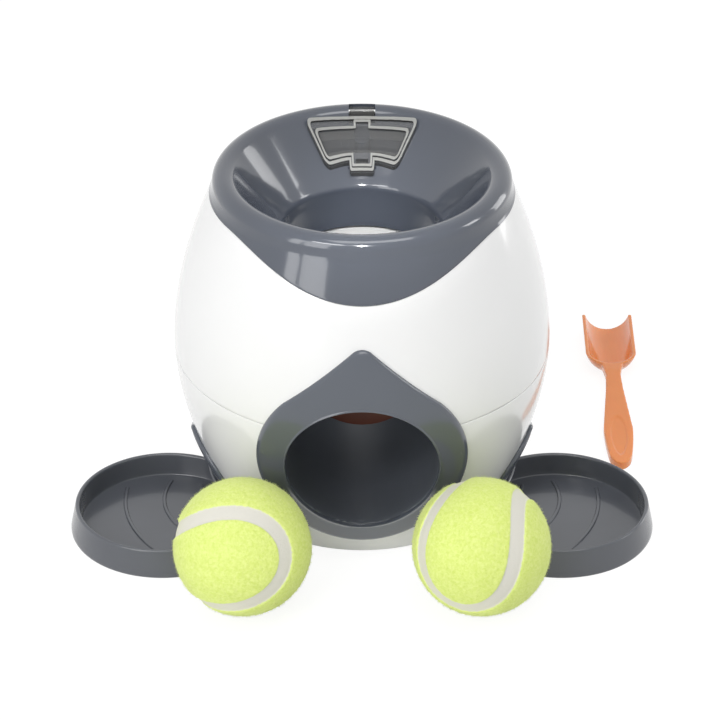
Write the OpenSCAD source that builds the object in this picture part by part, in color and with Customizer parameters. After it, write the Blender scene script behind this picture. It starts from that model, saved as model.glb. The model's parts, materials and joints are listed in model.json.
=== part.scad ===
// Ball dispenser that rewards a dog with treats. A ball dropped into the funnel falls through
// the drop tube, rolls out of the front outlet and pushes the hanging flap on its way. The flap
// turns two metering drums, which let treats fall from the hopper to the trays at the sides.
// Millimetres, +Z up, the front faces -Y, and z = 0 is the table that the set stands on.

/* [Barrel body] */
// Largest radius of the barrel
body_r = 90.7; // [88:0.1:93]
// Height of the barrel's widest circle
body_mid_z = 84.3; // [83:0.1:86]
// How far the profile draws in 100 mm above the widest circle
upper_drop = 29.4; // [28:0.1:31]
// How far the profile draws in 100 mm below the widest circle
lower_drop = 35.3; // [33:0.1:37]
// Power of the profile's curve, where 2 is a parabola
curve_power = 1.823; // [1.7:0.001:2]
// Wall of the white shells
shell_wall = 2.5; // [2:0.1:3]
// Height of the seam between the two white shells
seam_z = 80.2; // [79:0.1:82]
// Open gap at the seam
seam_gap = 0.3; // [0.2:0.05:0.6]
// Height of the lower shell's bottom edge above the table
shell_foot_z = 0.8; // [0.6:0.1:1.2]

/* [Funnel top] */
// How far the rolled rim's centre circle lies inside the barrel's widest circle
rim_inset = 25.7; // [24.7:0.1:27.7]
// Half thickness of the rolled rim
rim_t = 6; // [5.5:0.1:6.5]
// Height of the rolled rim's centre
rim_z = 167.7; // [166:0.1:169]
// Wall of the funnel
funnel_wall = 2.4; // [2:0.1:2.8]
// Inner radius at the top of the throat
throat_r = 37.4; // [37:0.1:38.5]
// Height where the rounded edge of the throat ends
throat_z = 140.6; // [139:0.1:142]
// Radius of the rounded edge of the throat
throat_round = 6; // [5:0.1:7]
// Inner radius at the foot of the spout
spout_r = 34.8; // [34:0.1:35.2]
// Height of the spout's foot
spout_z = 123.5; // [122:0.1:125]
// Lowest point of the skirt, at the front and the back
apron_low_z = 144.7; // [144:0.1:148]
// Height of the skirt's edge at the sides
apron_side_z = 162; // [160:0.1:163]
// Half width of the skirt's dip, in degrees around the barrel
apron_half_angle = 60; // [50:1:70]
// How far the skirt stands proud of the white shell
skirt_proud = 0.3; // [0.1:0.05:0.5]

/* [Treat hatch] */
// Distance of the lid's upper edge from the rim's centre circle
lid_gap = 6; // [5.6:0.1:7]
// Distance of the lid's lower edge from the foot of the hatch's walls
lid_low_gap = 1.3; // [0.8:0.1:2]
// Half angle of the lid around the axis
lid_half_angle = 26; // [24:0.5:28]
// Thickness of the lid
lid_t = 2; // [1.6:0.1:2.4]
// Width of the lid's rim below the opening, as a share of the lid's length
lid_low_share = 0.208; // [0.16:0.001:0.25]
// Width of the lid's rim above the opening, as a share of the lid's length
lid_high_share = 0.144; // [0.12:0.001:0.2]
// Width of the finger tab
tab_w = 12.6; // [10:0.1:14]
// Length of the finger tab
tab_len = 3.2; // [2.5:0.1:3.6]
// Width of the hinge knuckle
knuckle_w = 12; // [10:0.1:14]
// Distance of the hinge pin inside the rim's centre circle
hinge_inset = 0.5; // [0:0.1:1]
// Height of the hinge pin above the rim's centre circle
hinge_rise = 2.7; // [2.3:0.1:3.1]
// Radius of the hinge pin
hinge_pin_r = 1.2; // [1:0.05:1.4]

/* [Ball outlet] */
// Radius of the round outlet
outlet_r = 36.2; // [35.5:0.1:37]
// Height of the outlet's centre
outlet_z = 59.5; // [58.5:0.1:60.5]
// Wall of the ball chute
chute_wall = 2.2; // [1.8:0.1:2.4]
// Radius of the chute's bend, at its centre line
bend_r = 42; // [41.5:0.1:43]
// Height of the joint between the chute and the drop tube
tube_joint_z = 112; // [111:0.1:113]
// Radius of the front bezel's round part
bezel_r = 49.8; // [48.5:0.1:51]
// Height of the centre of the bezel's round part
bezel_z = 61; // [60:0.1:62]
// Height of the centre of the bezel's rounded tip
bezel_tip_z = 118.2; // [116:0.1:120]
// Radius of the bezel's rounded tip
bezel_tip_r = 6.8; // [5.5:0.1:8]
// How far the bezels stand proud of the white shell
bezel_proud = 2.1; // [1.6:0.1:2.4]

/* [Trigger] */
// Distance of the trigger shaft in front of the barrel's axis
shaft_y = 42; // [41.5:0.1:42.5]
// Height of the trigger shaft
shaft_z = 100.5; // [100:0.1:101]
// Radius of the trigger shaft
shaft_r = 2; // [1.8:0.05:2.2]
// Length of the flap below the shaft
flap_len = 42.5; // [40:0.1:43]
// Half width of the flap, and the radius of its round end
flap_half_w = 28.5; // [26:0.1:29]
// Thickness of the flap
flap_t = 2.4; // [2:0.1:3]
// Radius of the flap's hub
hub_r = 4.4; // [4:0.1:4.6]
// Radius of the metering drums
drum_r = 9.5; // [9:0.1:9.8]
// Play of each metering drum along its housing
drum_play = 1.2; // [0.8:0.1:2]
// Radius of the drum's treat pocket
pocket_r = 5.2; // [4.5:0.1:5.6]

/* [Treat path] */
// Distance of the treat channels' inner side from the middle plane
channel_x = 43.4; // [43.2:0.1:44]
// Gap between the treat channels and the white shell at their front corner
channel_gap = 1.6; // [1:0.1:2.4]
// Inner height of the treat channels
channel_h = 13; // [12:0.1:13.5]
// Wall of the treat channels, housings and chutes
duct_wall = 1.6; // [1.4:0.1:1.8]
// Slope of the treat channels, in degrees
channel_slope = 16; // [14:0.5:17]
// Height of the joint between the drum housing and the feed channel
housing_top_z = 112; // [111.5:0.1:112.5]
// Height of the joint between the drum housing and the treat chute
housing_low_z = 84; // [83:0.1:85]
// Distance of the housing's rear face in front of the axis
housing_rear_y = 17; // [16:0.1:18]
// Distance of the hopper's front face behind the axis
hopper_y = 30; // [29:0.1:31]
// Height of the hopper's floor at its ridge
hopper_ridge_z = 144.4; // [143:0.1:145]
// Height of the hopper's flat floor at its sides
hopper_low_z = 128; // [127.5:0.1:128.5]
// Height of the hopper's top edge
hopper_top_z = 152; // [151:0.1:152.5]

/* [Treat outlets] */
// Direction of the treat outlets, in degrees from the front
side_angle = 78; // [76:1:80]
// Radius of the side bezel's round part
side_bezel_r = 26; // [24:0.1:27]
// Height of the centre of the side bezel's round part
side_bezel_z = 13.5; // [13:0.1:15]
// Height of the side bezel's tip
side_tip_z = 41.5; // [41:0.1:43]
// Half width of the treat window
window_r = 11.5; // [10.5:0.1:12]
// Height of the treat window's lower edge
window_low_z = 17; // [16.5:0.1:18]
// Height of the centre of the treat window's round top
window_z = 24.5; // [24:0.1:25]

/* [Trays] */
// Distance of the trays' centre outside the barrel's widest circle
tray_out = 4.3; // [2:0.1:7]
// Distance of the trays' centre in front of the axis
tray_y = 42; // [40:0.1:44]
// Radius of the trays' foot
tray_foot_r = 46; // [44:0.1:48]
// Radius of the trays' rim
tray_rim_r = 43; // [41:0.1:45]
// Height of the trays
tray_h = 14; // [13:0.1:15]
// Wall of the trays
tray_wall = 2.2; // [1.8:0.1:2.6]
// Thickness of the trays' floor
tray_floor = 2.4; // [2:0.1:3]
// Gap between a tray and the body
tray_gap = 0.4; // [0.3:0.05:0.8]
// Width of the tray's tongue
tongue_w = 18; // [14:0.1:20]
// Thickness of the tray's tongue
tongue_t = 2.2; // [1.8:0.1:2.4]
// Height of the underside of the tray's tongue
tongue_z = 6.8; // [6.5:0.1:7.5]

/* [Balls and scoop] */
// Diameter of the balls
ball_d = 65; // [63:0.1:66]
// Thickness of the balls' felt
felt_t = 3; // [2:0.1:3.5]
// Wall of the balls' rubber core
core_wall = 3.3; // [3:0.1:4]
// Distance of the balls from the middle plane
ball_x = 55.7; // [54:0.1:60]
// Distance of the balls' centres in front of the barrel's widest circle
ball_ahead = 18.3; // [17:0.1:22]
// Length of the scoop
scoop_len = 135; // [125:1:140]
// Length of the scoop's bowl
bowl_len = 51; // [45:1:56]
// Radius of the bowl's round bottom
bowl_r = 13.5; // [12.5:0.1:14.5]
// Depth of the bowl
bowl_h = 10.5; // [9.5:0.1:11.5]
// Wall of the scoop
scoop_wall = 1.8; // [1.5:0.1:2.2]
// Half width of the scoop's neck
neck_half_w = 3.8; // [3.2:0.1:4.5]
// Half width of the scoop's handle at its widest
handle_half_w = 7.4; // [6:0.1:8.5]
// Distance of the scoop from the trays' centre, sideways
scoop_out = 34; // [33:0.1:45]

/* [Fasteners] */
// Radius of the screws' shank
screw_r = 1.3; // [1.2:0.05:1.4]
// Radius of the screws' head
screw_head_r = 2.5; // [2.3:0.05:2.7]
// Height of the screws' head
screw_head_t = 1.6; // [1.4:0.1:2]
// Radius of the screw bosses
boss_r = 3.6; // [3.4:0.1:3.8]

/* [Hidden] */
$fn = 64;
// Clearances between pieces that are fixed to each other, and that move past each other
seat_gap = 0.1;
fit_gap = 0.3;
shaft_gap = 0.05;
grip_gap = 0.02;
far = 400;
// Height of the steps that the barrel's profile is drawn in
step_z = 6;
white = [0.93, 0.93, 0.92];
slate = [0.35, 0.37, 0.41];
charcoal = [0.2, 0.21, 0.23];
orange = [0.9, 0.42, 0.16];
steel = [0.72, 0.73, 0.75];
lime = [0.85, 0.95, 0.35];

// ---- The barrel ----
function curve_r(z) = body_r - (z > body_mid_z ? upper_drop : lower_drop)
    * pow(abs(z - body_mid_z) / 100, curve_power);

// Radius of the barrel at height z, straight between the steps
function barrel_r(z) =
    let (k = floor(z / step_z), low = curve_r(k * step_z), high = curve_r((k + 1) * step_z))
    low + (high - low) * (z - k * step_z) / step_z;

function step_heights(z0, z1) = concat(
    [z0],
    [for (k = [floor(z0 / step_z) + 1 : ceil(z1 / step_z) - 1]) k * step_z],
    [z1]
);

function barrel_line(z0, z1, off) = [for (z = step_heights(z0, z1)) [barrel_r(z) + off, z]];

function backwards(points) = [for (i = [len(points) - 1 : -1 : 0]) points[i]];

// The turned forms start at this angle, on the plain part of the rear
start_angle = 75;

module barrel_solid(z0, z1, off) {
    rotate([0, 0, start_angle]) rotate_extrude()
        polygon(concat([[0, z0]], barrel_line(z0, z1, off), [[0, z1]]));
}

module barrel_layer(z0, z1, off_in, off_out) {
    rotate([0, 0, start_angle]) rotate_extrude()
        polygon(concat(barrel_line(z0, z1, off_out), backwards(barrel_line(z0, z1, off_in))));
}

// A shape drawn as width and height, pushed out towards the direction "angle" from the front
module facing(angle) {
    rotate([0, 0, angle]) rotate([90, 0, 0]) linear_extrude(far / 2) children();
}

// A shape drawn as depth and height, pushed along X from x0 to x1
module across(x0, x1) {
    translate([x0, 0, 0]) rotate([90, 0, 90]) linear_extrude(x1 - x0) children();
}

// A round bar along X from x0 to x1
module x_bar(r, x0, x1, y, z) {
    translate([x0, y, z]) rotate([0, 90, 0]) cylinder(h = x1 - x0, r = r);
}

// The mirrored twin of a piece on the left, where x is below 0
module on_left() {
    mirror([1, 0, 0]) children();
}

// A pan-head screw that points up, with the underside of its head at the origin
module screw(shank) {
    cylinder(h = shank, r = screw_r);
    translate([0, 0, -screw_head_t]) cylinder(h = screw_head_t, r = screw_head_r);
}

// ---- Where the screws go ----
shell_screw_angles = [-140, -35, 35, 140];
funnel_screw_angles = [-105, -45, 45, 105];
hopper_screw_angles = [145, 215];
base_screw_angles = [-150, -30, 30, 150];
tube_screw_angles = [45, 135, 225, 315];
shell_screw_r = barrel_r(seam_z) - shell_wall - boss_r + 0.5;
shell_ear_t = 7;
shell_ear_z = seam_z - seam_gap / 2 - shell_ear_t;
shell_boss_h = 14;
funnel_ear_z = 144;
funnel_ear_t = 3;
hopper_ear_t = 2.4;
base_cover_z = shell_foot_z + 0.8;
base_cover_t = 2.2;
ledge_t = 2;
ledge_z = base_cover_z + base_cover_t;
base_boss_h = 8;
base_screw_r = barrel_r(ledge_z) - shell_wall - boss_r - 0.6;
flange_t = 2;
tube_r_in = spout_r + 2.4;
tube_r_out = tube_r_in + 2;
chute_r_out = outlet_r + chute_wall;
flange_r = channel_x - 0.4;
tube_screw_r = (tube_r_out + flange_r) / 2;
bezel_screw_r = (chute_r_out + bezel_r) / 2;
bezel_screw_angles = [-40, 8, 172, 220];
bezel_boss_r = 3;
bezel_boss_end = 8.5;
bezel_pilot_start = 1.7;
tube_boss_h = 5;
// Play of a screw in the ear it passes through, and the room left at its tip
pass_gap = 0.2;
tip_gap = 0.4;

// The point "angle" degrees from the front, at radius r and height z
module at_angle(angle, r, z) {
    rotate([0, 0, angle]) translate([0, -r, z]) children();
}

// ---- The skirt's wavy edge, drawn as width and height, moved by "shift" along Z ----
function apron_z(angle) = abs(angle) >= apron_half_angle ? apron_side_z
    : apron_side_z - (apron_side_z - apron_low_z) * (1 + cos(180 * angle / apron_half_angle)) / 2;

module above_apron(shift) {
    edge = [for (a = [-75 : 5 : 75]) [barrel_r(apron_z(a)) * sin(a), apron_z(a) + shift]];
    side = [far / 2, apron_side_z + shift];
    polygon(concat([[-side[0], side[1]]], edge, [side, [far / 2, far / 2], [-far / 2, far / 2]]));
}

module apron_region(shift) {
    translate([0, far / 2, 0]) rotate([90, 0, 0]) linear_extrude(far) above_apron(shift);
}

// ---- The funnel's section ----
rim_r = body_r - rim_inset;
cone_low = [throat_r + 1.8, throat_z + 4.1];
cone_rise = (rim_z + rim_t * 0.63 - cone_low[1]) / (rim_r - rim_t * 0.777 - cone_low[0]);
cone_angle = 90 + atan(cone_rise);
cone_up = sqrt(1 + pow(cone_rise, 2));

// Height of a line "above" the funnel's cone at radius r, and the radius of that line at height z
function cone_z(r, above) = cone_low[1] + (r - cone_low[0]) * cone_rise + above * cone_up;
function cone_r(z, above) = cone_low[0] + (z - cone_low[1] - above * cone_up) / cone_rise;

// The funnel's lining at a distance "wall" below its inner surface
function rim_arc(wall) = [for (a = [-26 : (cone_angle + 26) / 14 : cone_angle + 0.01])
    [rim_r + (rim_t - wall) * cos(a), rim_z + (rim_t - wall) * sin(a)]];
function throat_arc(wall) = [for (i = [0 : 5]) let (a = cone_angle + (180 - cone_angle) * i / 5)
    [throat_r + throat_round + (throat_round - wall) * cos(a),
     throat_z + (throat_round - wall) * sin(a)]];
spout_wall = 1.4;
skirt_top_z = rim_z - 2.6;

module funnel_section() {
    polygon(concat(
        rim_arc(0),
        throat_arc(0),
        [[spout_r, spout_z], [spout_r + spout_wall, spout_z]],
        backwards(throat_arc(funnel_wall)),
        backwards(rim_arc(funnel_wall))
    ));
}

// The web inside the rim that the skirt hangs from
module rim_web() {
    r0 = rim_r + rim_t * 0.65;
    r1 = barrel_r(skirt_top_z) + skirt_proud - 0.3;
    rotate([0, 0, start_angle]) rotate_extrude()
        polygon([
            [r0, skirt_top_z - 1], [r1, skirt_top_z - 1],
            [r1, skirt_top_z + 0.4], [r0, skirt_top_z + 0.4]
        ]);
}

// A sector of the funnel's lining between two radii, "half" degrees each side of the rear
module cone_sector(r0, r1, half, low, high) {
    rotate([0, 0, 90 - half]) rotate_extrude(angle = 2 * half)
        polygon([
            [r0, cone_z(r0, low)], [r1, cone_z(r1, low)],
            [r1, cone_z(r1, high)], [r0, cone_z(r0, high)]
        ]);
}

hatch_frame_z = hopper_top_z + fit_gap;
lid_r_out = rim_r - lid_gap;
lid_r_in = cone_r(hatch_frame_z, 0) + lid_low_gap;
lid_len = lid_r_out - lid_r_in;
hatch_r_in = lid_r_in + lid_len * lid_low_share;
hatch_r_out = lid_r_out - lid_len * lid_high_share;
hatch_half_angle = lid_half_angle - 3.2;
hinge_y = rim_r - hinge_inset;
hinge_z = rim_z + hinge_rise;
hatch_frame_t = 1.8;
knuckle_r = 2.4;
notch_half_w = knuckle_w / 2 + 0.4;
// The post that stands in the hatch's opening, under the hinge
post_half_w = 3.4;
post_y = lid_r_in + lid_len * 0.6;
post_h = cone_z(post_y, -2) - hatch_frame_z;
// The posts under the rim that the screws of the shell and of the hopper bite in
funnel_post_z = funnel_ear_z + funnel_ear_t;
funnel_post_r = 3;
post_top_z = rim_z + rim_t - 1.8;

// The hatch's opening where "grow" is 0, or the walls around it that lead down to the hopper
module hatch_well(grow) {
    half = hatch_half_angle + grow * 1.1;
    low_z = hatch_frame_z - (grow > 0 ? 0 : 1);
    above = grow > 0 ? -0.8 : 3;
    r0 = hatch_r_in - grow;
    r1 = hatch_r_out + grow;
    rotate([0, 0, 90 - half]) rotate_extrude(angle = 2 * half)
        polygon([[r0, low_z], [r1, low_z], [r1, cone_z(r1, above)], [r0, cone_z(r0, above)]]);
}

// The room under the rolled rim, which the hinge's block fills
module rim_envelope() {
    rotate_extrude() polygon(concat(
        [[rim_r - rim_t * 1.3, skirt_top_z - 4], [rim_r + rim_t * 0.9, skirt_top_z - 4]],
        [for (a = [-26 : 12 : 142]) [rim_r + (rim_t - 0.6) * cos(a), rim_z + (rim_t - 0.6) * sin(a)]]
    ));
}

module funnel_top() {
    color(slate) difference() {
        union() {
            rotate_extrude() funnel_section();
            rim_web();
            intersection() {
                barrel_layer(apron_low_z - 3, skirt_top_z + 0.6, skirt_proud - funnel_wall, skirt_proud);
                apron_region(0);
            }
            hatch_well(hatch_frame_t);
            intersection() {
                translate([-notch_half_w - 3, lid_r_out - 2, skirt_top_z - 3])
                    cube([2 * notch_half_w + 6, 13.5, 15]);
                rim_envelope();
            }
            for (a = funnel_screw_angles) at_angle(a, rim_r, funnel_post_z)
                cylinder(h = post_top_z - funnel_post_z, r = funnel_post_r);
            for (a = hopper_screw_angles) at_angle(a, rim_r, hopper_top_z)
                cylinder(h = post_top_z - hopper_top_z, r = funnel_post_r);
        }
        difference() {
            hatch_well(0);
            translate([-post_half_w, post_y, hatch_frame_z]) cube([2 * post_half_w, 20, post_h]);
            translate([0, post_y, hatch_frame_z]) cylinder(h = post_h, r = post_half_w);
        }
        translate([-notch_half_w, lid_r_out - 2, hinge_z - knuckle_r - 0.5])
            cube([2 * notch_half_w, hinge_y + 5.4 - lid_r_out, 20]);
        x_bar(hinge_pin_r + grip_gap, -notch_half_w - 2, notch_half_w + 2, hinge_y, hinge_z);
        cone_sector(lid_r_in - tab_len - 3.4, lid_r_in - tab_len + 1, 9, -1, 4);
        for (a = funnel_screw_angles)
            at_angle(a, rim_r, 0) cylinder(h = funnel_post_z + 10, r = screw_r + grip_gap);
        for (a = hopper_screw_angles)
            at_angle(a, rim_r, 0) cylinder(h = hopper_top_z + 8, r = screw_r + grip_gap);
    }
}

// ---- Hatch lid: a clear sector plate with a lip inside the opening, a tab and a knuckle ----
lid_lift = 0.25;
lip_t = lid_len * 0.112;
lip_depth = 1.6;
lip_r_in = hatch_r_in + fit_gap;
lip_r_out = hatch_r_out - fit_gap;

module hatch_lid() {
    color([0.75, 0.78, 0.8, 0.45]) difference() {
        union() {
            cone_sector(lid_r_in, lid_r_out, lid_half_angle, lid_lift, lid_lift + lid_t);
            difference() {
                cone_sector(lip_r_in, lip_r_out, hatch_half_angle - 0.6, -lip_depth, lid_lift + 0.1);
                cone_sector(
                    lip_r_in + lip_t, lip_r_out - lip_t, hatch_half_angle - 2.4, -lip_depth - 1, lid_lift
                );
                translate([-post_half_w - fit_gap, post_y - post_half_w - fit_gap - 1, hatch_frame_z])
                    cube([2 * (post_half_w + fit_gap), 20, 30]);
            }
            intersection() {
                cone_sector(lid_r_in - tab_len, lid_r_in + 1, 20, lid_lift, lid_lift + lid_t);
                translate([-tab_w / 2, 0, 0]) cube([tab_w, far, far]);
            }
            x_bar(knuckle_r, -knuckle_w / 2, knuckle_w / 2, hinge_y, hinge_z);
            across(-knuckle_w / 2, knuckle_w / 2) polygon([
                [lid_r_out - 1.4, cone_z(lid_r_out - 1.4, lid_lift + 0.2)],
                [hinge_y, hinge_z - 0.4], [hinge_y, hinge_z + knuckle_r],
                [lid_r_out - 1.4, cone_z(lid_r_out - 1.4, lid_lift + lid_t)]
            ]);
        }
        x_bar(hinge_pin_r + shaft_gap, -far / 4, far / 4, hinge_y, hinge_z);
    }
}

module hatch_pin() {
    color(steel) x_bar(hinge_pin_r, -notch_half_w - 1.8, notch_half_w + 1.8, hinge_y, hinge_z);
}

// ---- Outlines seen from outside, drawn as width and height ----
function arc(x, z, r, from, to, parts) =
    [for (i = [0 : parts]) let (a = from + (to - from) * i / parts) [x + r * cos(a), z + r * sin(a)]];

// A round shape drawn up to a rounded tip, with straight flanks that lean "flank" degrees from level
module pointed_outline(z, r, tip_z, tip_r, flank) {
    polygon(concat(
        arc(0, z, r, 90 + flank, 450 - flank, 36),
        arc(0, tip_z, tip_r, 90 - flank, 90 + flank, 6)
    ));
}

front_flank = 47;

module front_outline() {
    pointed_outline(bezel_z, bezel_r, bezel_tip_z, bezel_tip_r, front_flank);
}

side_tip_r = 4;
side_flank = 26;

module side_outline() {
    pointed_outline(side_bezel_z, side_bezel_r, side_tip_z - side_tip_r, side_tip_r, side_flank);
}

module window_outline(grow) {
    r = window_r + grow;
    low_z = window_low_z - grow;
    polygon(concat([[-r, low_z], [r, low_z]], arc(0, window_z, r, 0, 180, 14)));
}

tray_x = body_r + tray_out;
tray_angle = atan2(tray_x, tray_y);

// The slot for a tray's tongue
module tongue_slot(grow) {
    facing(tray_angle) translate([-tongue_w / 2 - grow, tongue_z - grow])
        square([tongue_w + 2 * grow, tongue_t + 2 * grow]);
}

// Distance of the shell's surface in front of the axis, at the bezel's screw at angle a
function bezel_boss_y(a) =
    sqrt(pow(barrel_r(outlet_z + bezel_screw_r * sin(a)), 2) - pow(bezel_screw_r * cos(a), 2));

// The bezel's screw places, moved "depth" behind the shell's surface
module bezel_screw_places(depth) {
    for (a = bezel_screw_angles)
        translate([bezel_screw_r * cos(a), depth - bezel_boss_y(a), outlet_z + bezel_screw_r * sin(a)])
            children();
}

// Bars at the bezel's screws, between two depths behind the shell's surface
module bezel_bars(r, from, to) {
    bezel_screw_places(from) rotate([-90, 0, 0]) cylinder(h = to - from, r = r);
}

// ---- White shells ----
module outlet_cuts() {
    translate([0, 0, outlet_z]) rotate([90, 0, 0]) cylinder(h = far, r = chute_r_out + fit_gap);
    bezel_bars(bezel_boss_r + fit_gap, -far / 40, far / 20);
    for (side = [0, 1]) mirror([side, 0, 0]) {
        facing(side_angle) window_outline(fit_gap + duct_wall);
        tongue_slot(fit_gap);
    }
}

module upper_shell() {
    color(white) difference() {
        union() {
            difference() {
                barrel_layer(seam_z + seam_gap / 2, apron_side_z + 1, -shell_wall, 0);
                apron_region(-0.25);
            }
            for (a = funnel_screw_angles) intersection() {
                rotate([0, 0, a]) translate([-5, -far / 2, funnel_ear_z])
                    cube([10, far / 2 - rim_r + 5, funnel_ear_t]);
                barrel_solid(funnel_ear_z, funnel_post_z, -0.8);
            }
            for (a = shell_screw_angles)
                at_angle(a, shell_screw_r, seam_z + seam_gap / 2) cylinder(h = shell_boss_h, r = boss_r);
        }
        translate([0, 0, outlet_z]) rotate([90, 0, 0]) cylinder(h = far, r = chute_r_out + fit_gap);
        for (a = funnel_screw_angles)
            at_angle(a, rim_r, funnel_ear_z - 1) cylinder(h = funnel_ear_t + 2, r = screw_r + pass_gap);
        for (a = shell_screw_angles)
            at_angle(a, shell_screw_r, seam_z) cylinder(h = shell_boss_h - 2, r = screw_r + grip_gap);
    }
}

module lower_shell() {
    color(white) difference() {
        union() {
            barrel_layer(shell_foot_z, seam_z - seam_gap / 2, -shell_wall, 0);
            intersection() {
                barrel_solid(ledge_z, ledge_z + ledge_t, -shell_wall / 2);
                difference() {
                    translate([0, 0, ledge_z]) cylinder(h = ledge_t, r = far / 4);
                    translate([0, 0, ledge_z - 1]) cylinder(h = ledge_t + 2, r = base_screw_r - 2);
                }
            }
            for (a = base_screw_angles)
                at_angle(a, base_screw_r, ledge_z + 0.5) cylinder(h = base_boss_h - 0.5, r = boss_r);
            for (a = shell_screw_angles)
                at_angle(a, shell_screw_r, shell_ear_z) cylinder(h = shell_ear_t, r = boss_r);
        }
        outlet_cuts();
        for (a = base_screw_angles)
            at_angle(a, base_screw_r, ledge_z - 1) cylinder(h = base_boss_h, r = screw_r + grip_gap);
        for (a = shell_screw_angles)
            at_angle(a, shell_screw_r, shell_ear_z - 1) cylinder(h = shell_ear_t + 2, r = screw_r + pass_gap);
    }
}

module shell_screws() {
    color(steel) for (a = shell_screw_angles)
        at_angle(a, shell_screw_r, shell_ear_z) screw(shell_ear_t + 10);
}

module funnel_screws() {
    color(steel) for (a = funnel_screw_angles) at_angle(a, rim_r, funnel_ear_z) screw(funnel_ear_t + 8);
}

// ---- Bezels ----
module front_bezel() {
    color(slate) difference() {
        union() {
            intersection() {
                facing(0) front_outline();
                barrel_layer(step_z, bezel_tip_z + 2 * step_z, seat_gap, bezel_proud);
            }
            intersection() {
                bezel_bars(bezel_boss_r, -bezel_proud - 1, bezel_boss_end);
                barrel_solid(step_z, bezel_tip_z, bezel_proud - 0.4);
            }
        }
        translate([0, 0, outlet_z]) rotate([90, 0, 0]) cylinder(h = far, r = outlet_r);
        bezel_bars(screw_r + grip_gap, bezel_pilot_start, far / 20);
    }
}

module bezel_screws() {
    color(steel) bezel_screw_places(bezel_boss_end)
        rotate([90, 0, 0]) screw(bezel_boss_end - bezel_pilot_start - tip_gap);
}

module right_outlet_bezel() {
    color(slate) difference() {
        intersection() {
            facing(side_angle) side_outline();
            barrel_layer(2, side_tip_z + step_z, seat_gap, bezel_proud);
        }
        facing(side_angle) window_outline(0);
        tongue_slot(fit_gap);
    }
}

module left_outlet_bezel() {
    on_left() right_outlet_bezel();
}

// ---- Base ----
foot_r = 6;
foot_ring_r = 40;
foot_pocket = 0.9;
// Depth that the screws' heads are sunk in the base cover
base_sink = 1.1;

module foot_places() {
    for (a = [45 : 90 : 315]) at_angle(a, foot_ring_r, 0) children();
}

module base_cover() {
    color(charcoal) difference() {
        barrel_solid(base_cover_z, ledge_z, -shell_wall - fit_gap);
        foot_places() cylinder(h = base_cover_z + foot_pocket, r = foot_r + 0.05);
        for (a = base_screw_angles) at_angle(a, base_screw_r, 0) {
            cylinder(h = far / 20, r = screw_r + pass_gap);
            cylinder(h = base_cover_z + base_sink, r = screw_head_r + fit_gap);
        }
    }
}

module rubber_feet() {
    color(charcoal) foot_places() cylinder(h = base_cover_z + foot_pocket, r = foot_r);
}

module base_screws() {
    color(steel) for (a = base_screw_angles)
        at_angle(a, base_screw_r, base_cover_z + base_sink) screw(base_cover_t - base_sink + 5);
}

// ---- Ball chute: a bend that turns the falling ball to the front ----
bend_z = outlet_z + bend_r;
bay_half_w = flap_half_w + 2;
cheek_t = 4;
bay_rear_y = 36;
cheek_front_y = body_r - 14.7;
cheek_mid_x = bay_half_w + 0.5 + cheek_t / 2;
cheek_out_x = cheek_mid_x + cheek_t / 2;
cheek_low_z = outlet_z + 10;
bay_top_z = tube_joint_z - flange_t - 2;
bush_r = 4;
bush_flange_t = 1.2;
leg_places = [[20, -50], [-20, -50], [20, -20], [-20, -20]];

module bend_path(r) {
    translate([0, -bend_r, bend_z]) rotate([-90, 0, 0]) rotate([0, -90, 0])
        rotate_extrude(angle = 90) translate([bend_r, 0]) circle(r = r);
    translate([0, 0, bend_z]) cylinder(h = tube_joint_z - bend_z, r = r);
    translate([0, -bend_r, outlet_z]) rotate([90, 0, 0]) cylinder(h = far / 8, r = r);
}

module outlet_chute() {
    color(charcoal) difference() {
        union() {
            intersection() {
                bend_path(chute_r_out);
                barrel_solid(0, tube_joint_z, -seat_gap);
            }
            translate([0, 0, tube_joint_z - flange_t]) cylinder(h = flange_t, r = flange_r);
            for (side = [-1, 1])
                translate([side * cheek_mid_x - cheek_t / 2, -cheek_front_y, cheek_low_z])
                    cube([cheek_t, cheek_front_y - bend_r + hub_r, bay_top_z - cheek_low_z]);
            for (p = leg_places)
                translate([p[0], p[1], ledge_z]) cylinder(h = outlet_z - 20 - ledge_z, r = 4);
        }
        bend_path(outlet_r);
        translate([0, 0, tube_joint_z - 1]) cylinder(h = 2, r = outlet_r);
        translate([-bay_half_w, -far / 4, outlet_z])
            cube([2 * bay_half_w, far / 4 - bay_rear_y, bay_top_z - outlet_z]);
        x_bar(bush_r + 0.03, -far / 4, far / 4, -shaft_y, shaft_z);
        for (a = tube_screw_angles)
            at_angle(a, tube_screw_r, tube_joint_z - 5) cylinder(h = 10, r = screw_r + pass_gap);
        for (p = cover_screw_places)
            translate([p[0], p[1], bay_top_z - 8]) cylinder(h = 10, r = screw_r + grip_gap);
    }
}

flap_cover_t = 2;
// Distances of the cover's screws behind the front ends of the cheeks
cover_screw_backs = [6, 24];
cover_screw_places = [for (x = [-1, 1], d = cover_screw_backs) [x * cheek_mid_x, d - cheek_front_y]];

module flap_cover() {
    color(charcoal) difference() {
        translate([-cheek_mid_x - cheek_t / 2, -cheek_front_y, bay_top_z])
            cube([2 * cheek_mid_x + cheek_t, cheek_front_y - bay_rear_y, flap_cover_t]);
        translate([0, 0, bay_top_z - 1]) cylinder(h = 10, r = chute_r_out + fit_gap);
        for (p = cover_screw_places)
            translate([p[0], p[1], bay_top_z - 1]) cylinder(h = 5, r = screw_r + pass_gap);
    }
}

module cover_screws() {
    color(steel) for (p = cover_screw_places)
        translate([p[0], p[1], bay_top_z + flap_cover_t]) rotate([180, 0, 0]) screw(7);
}

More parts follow.
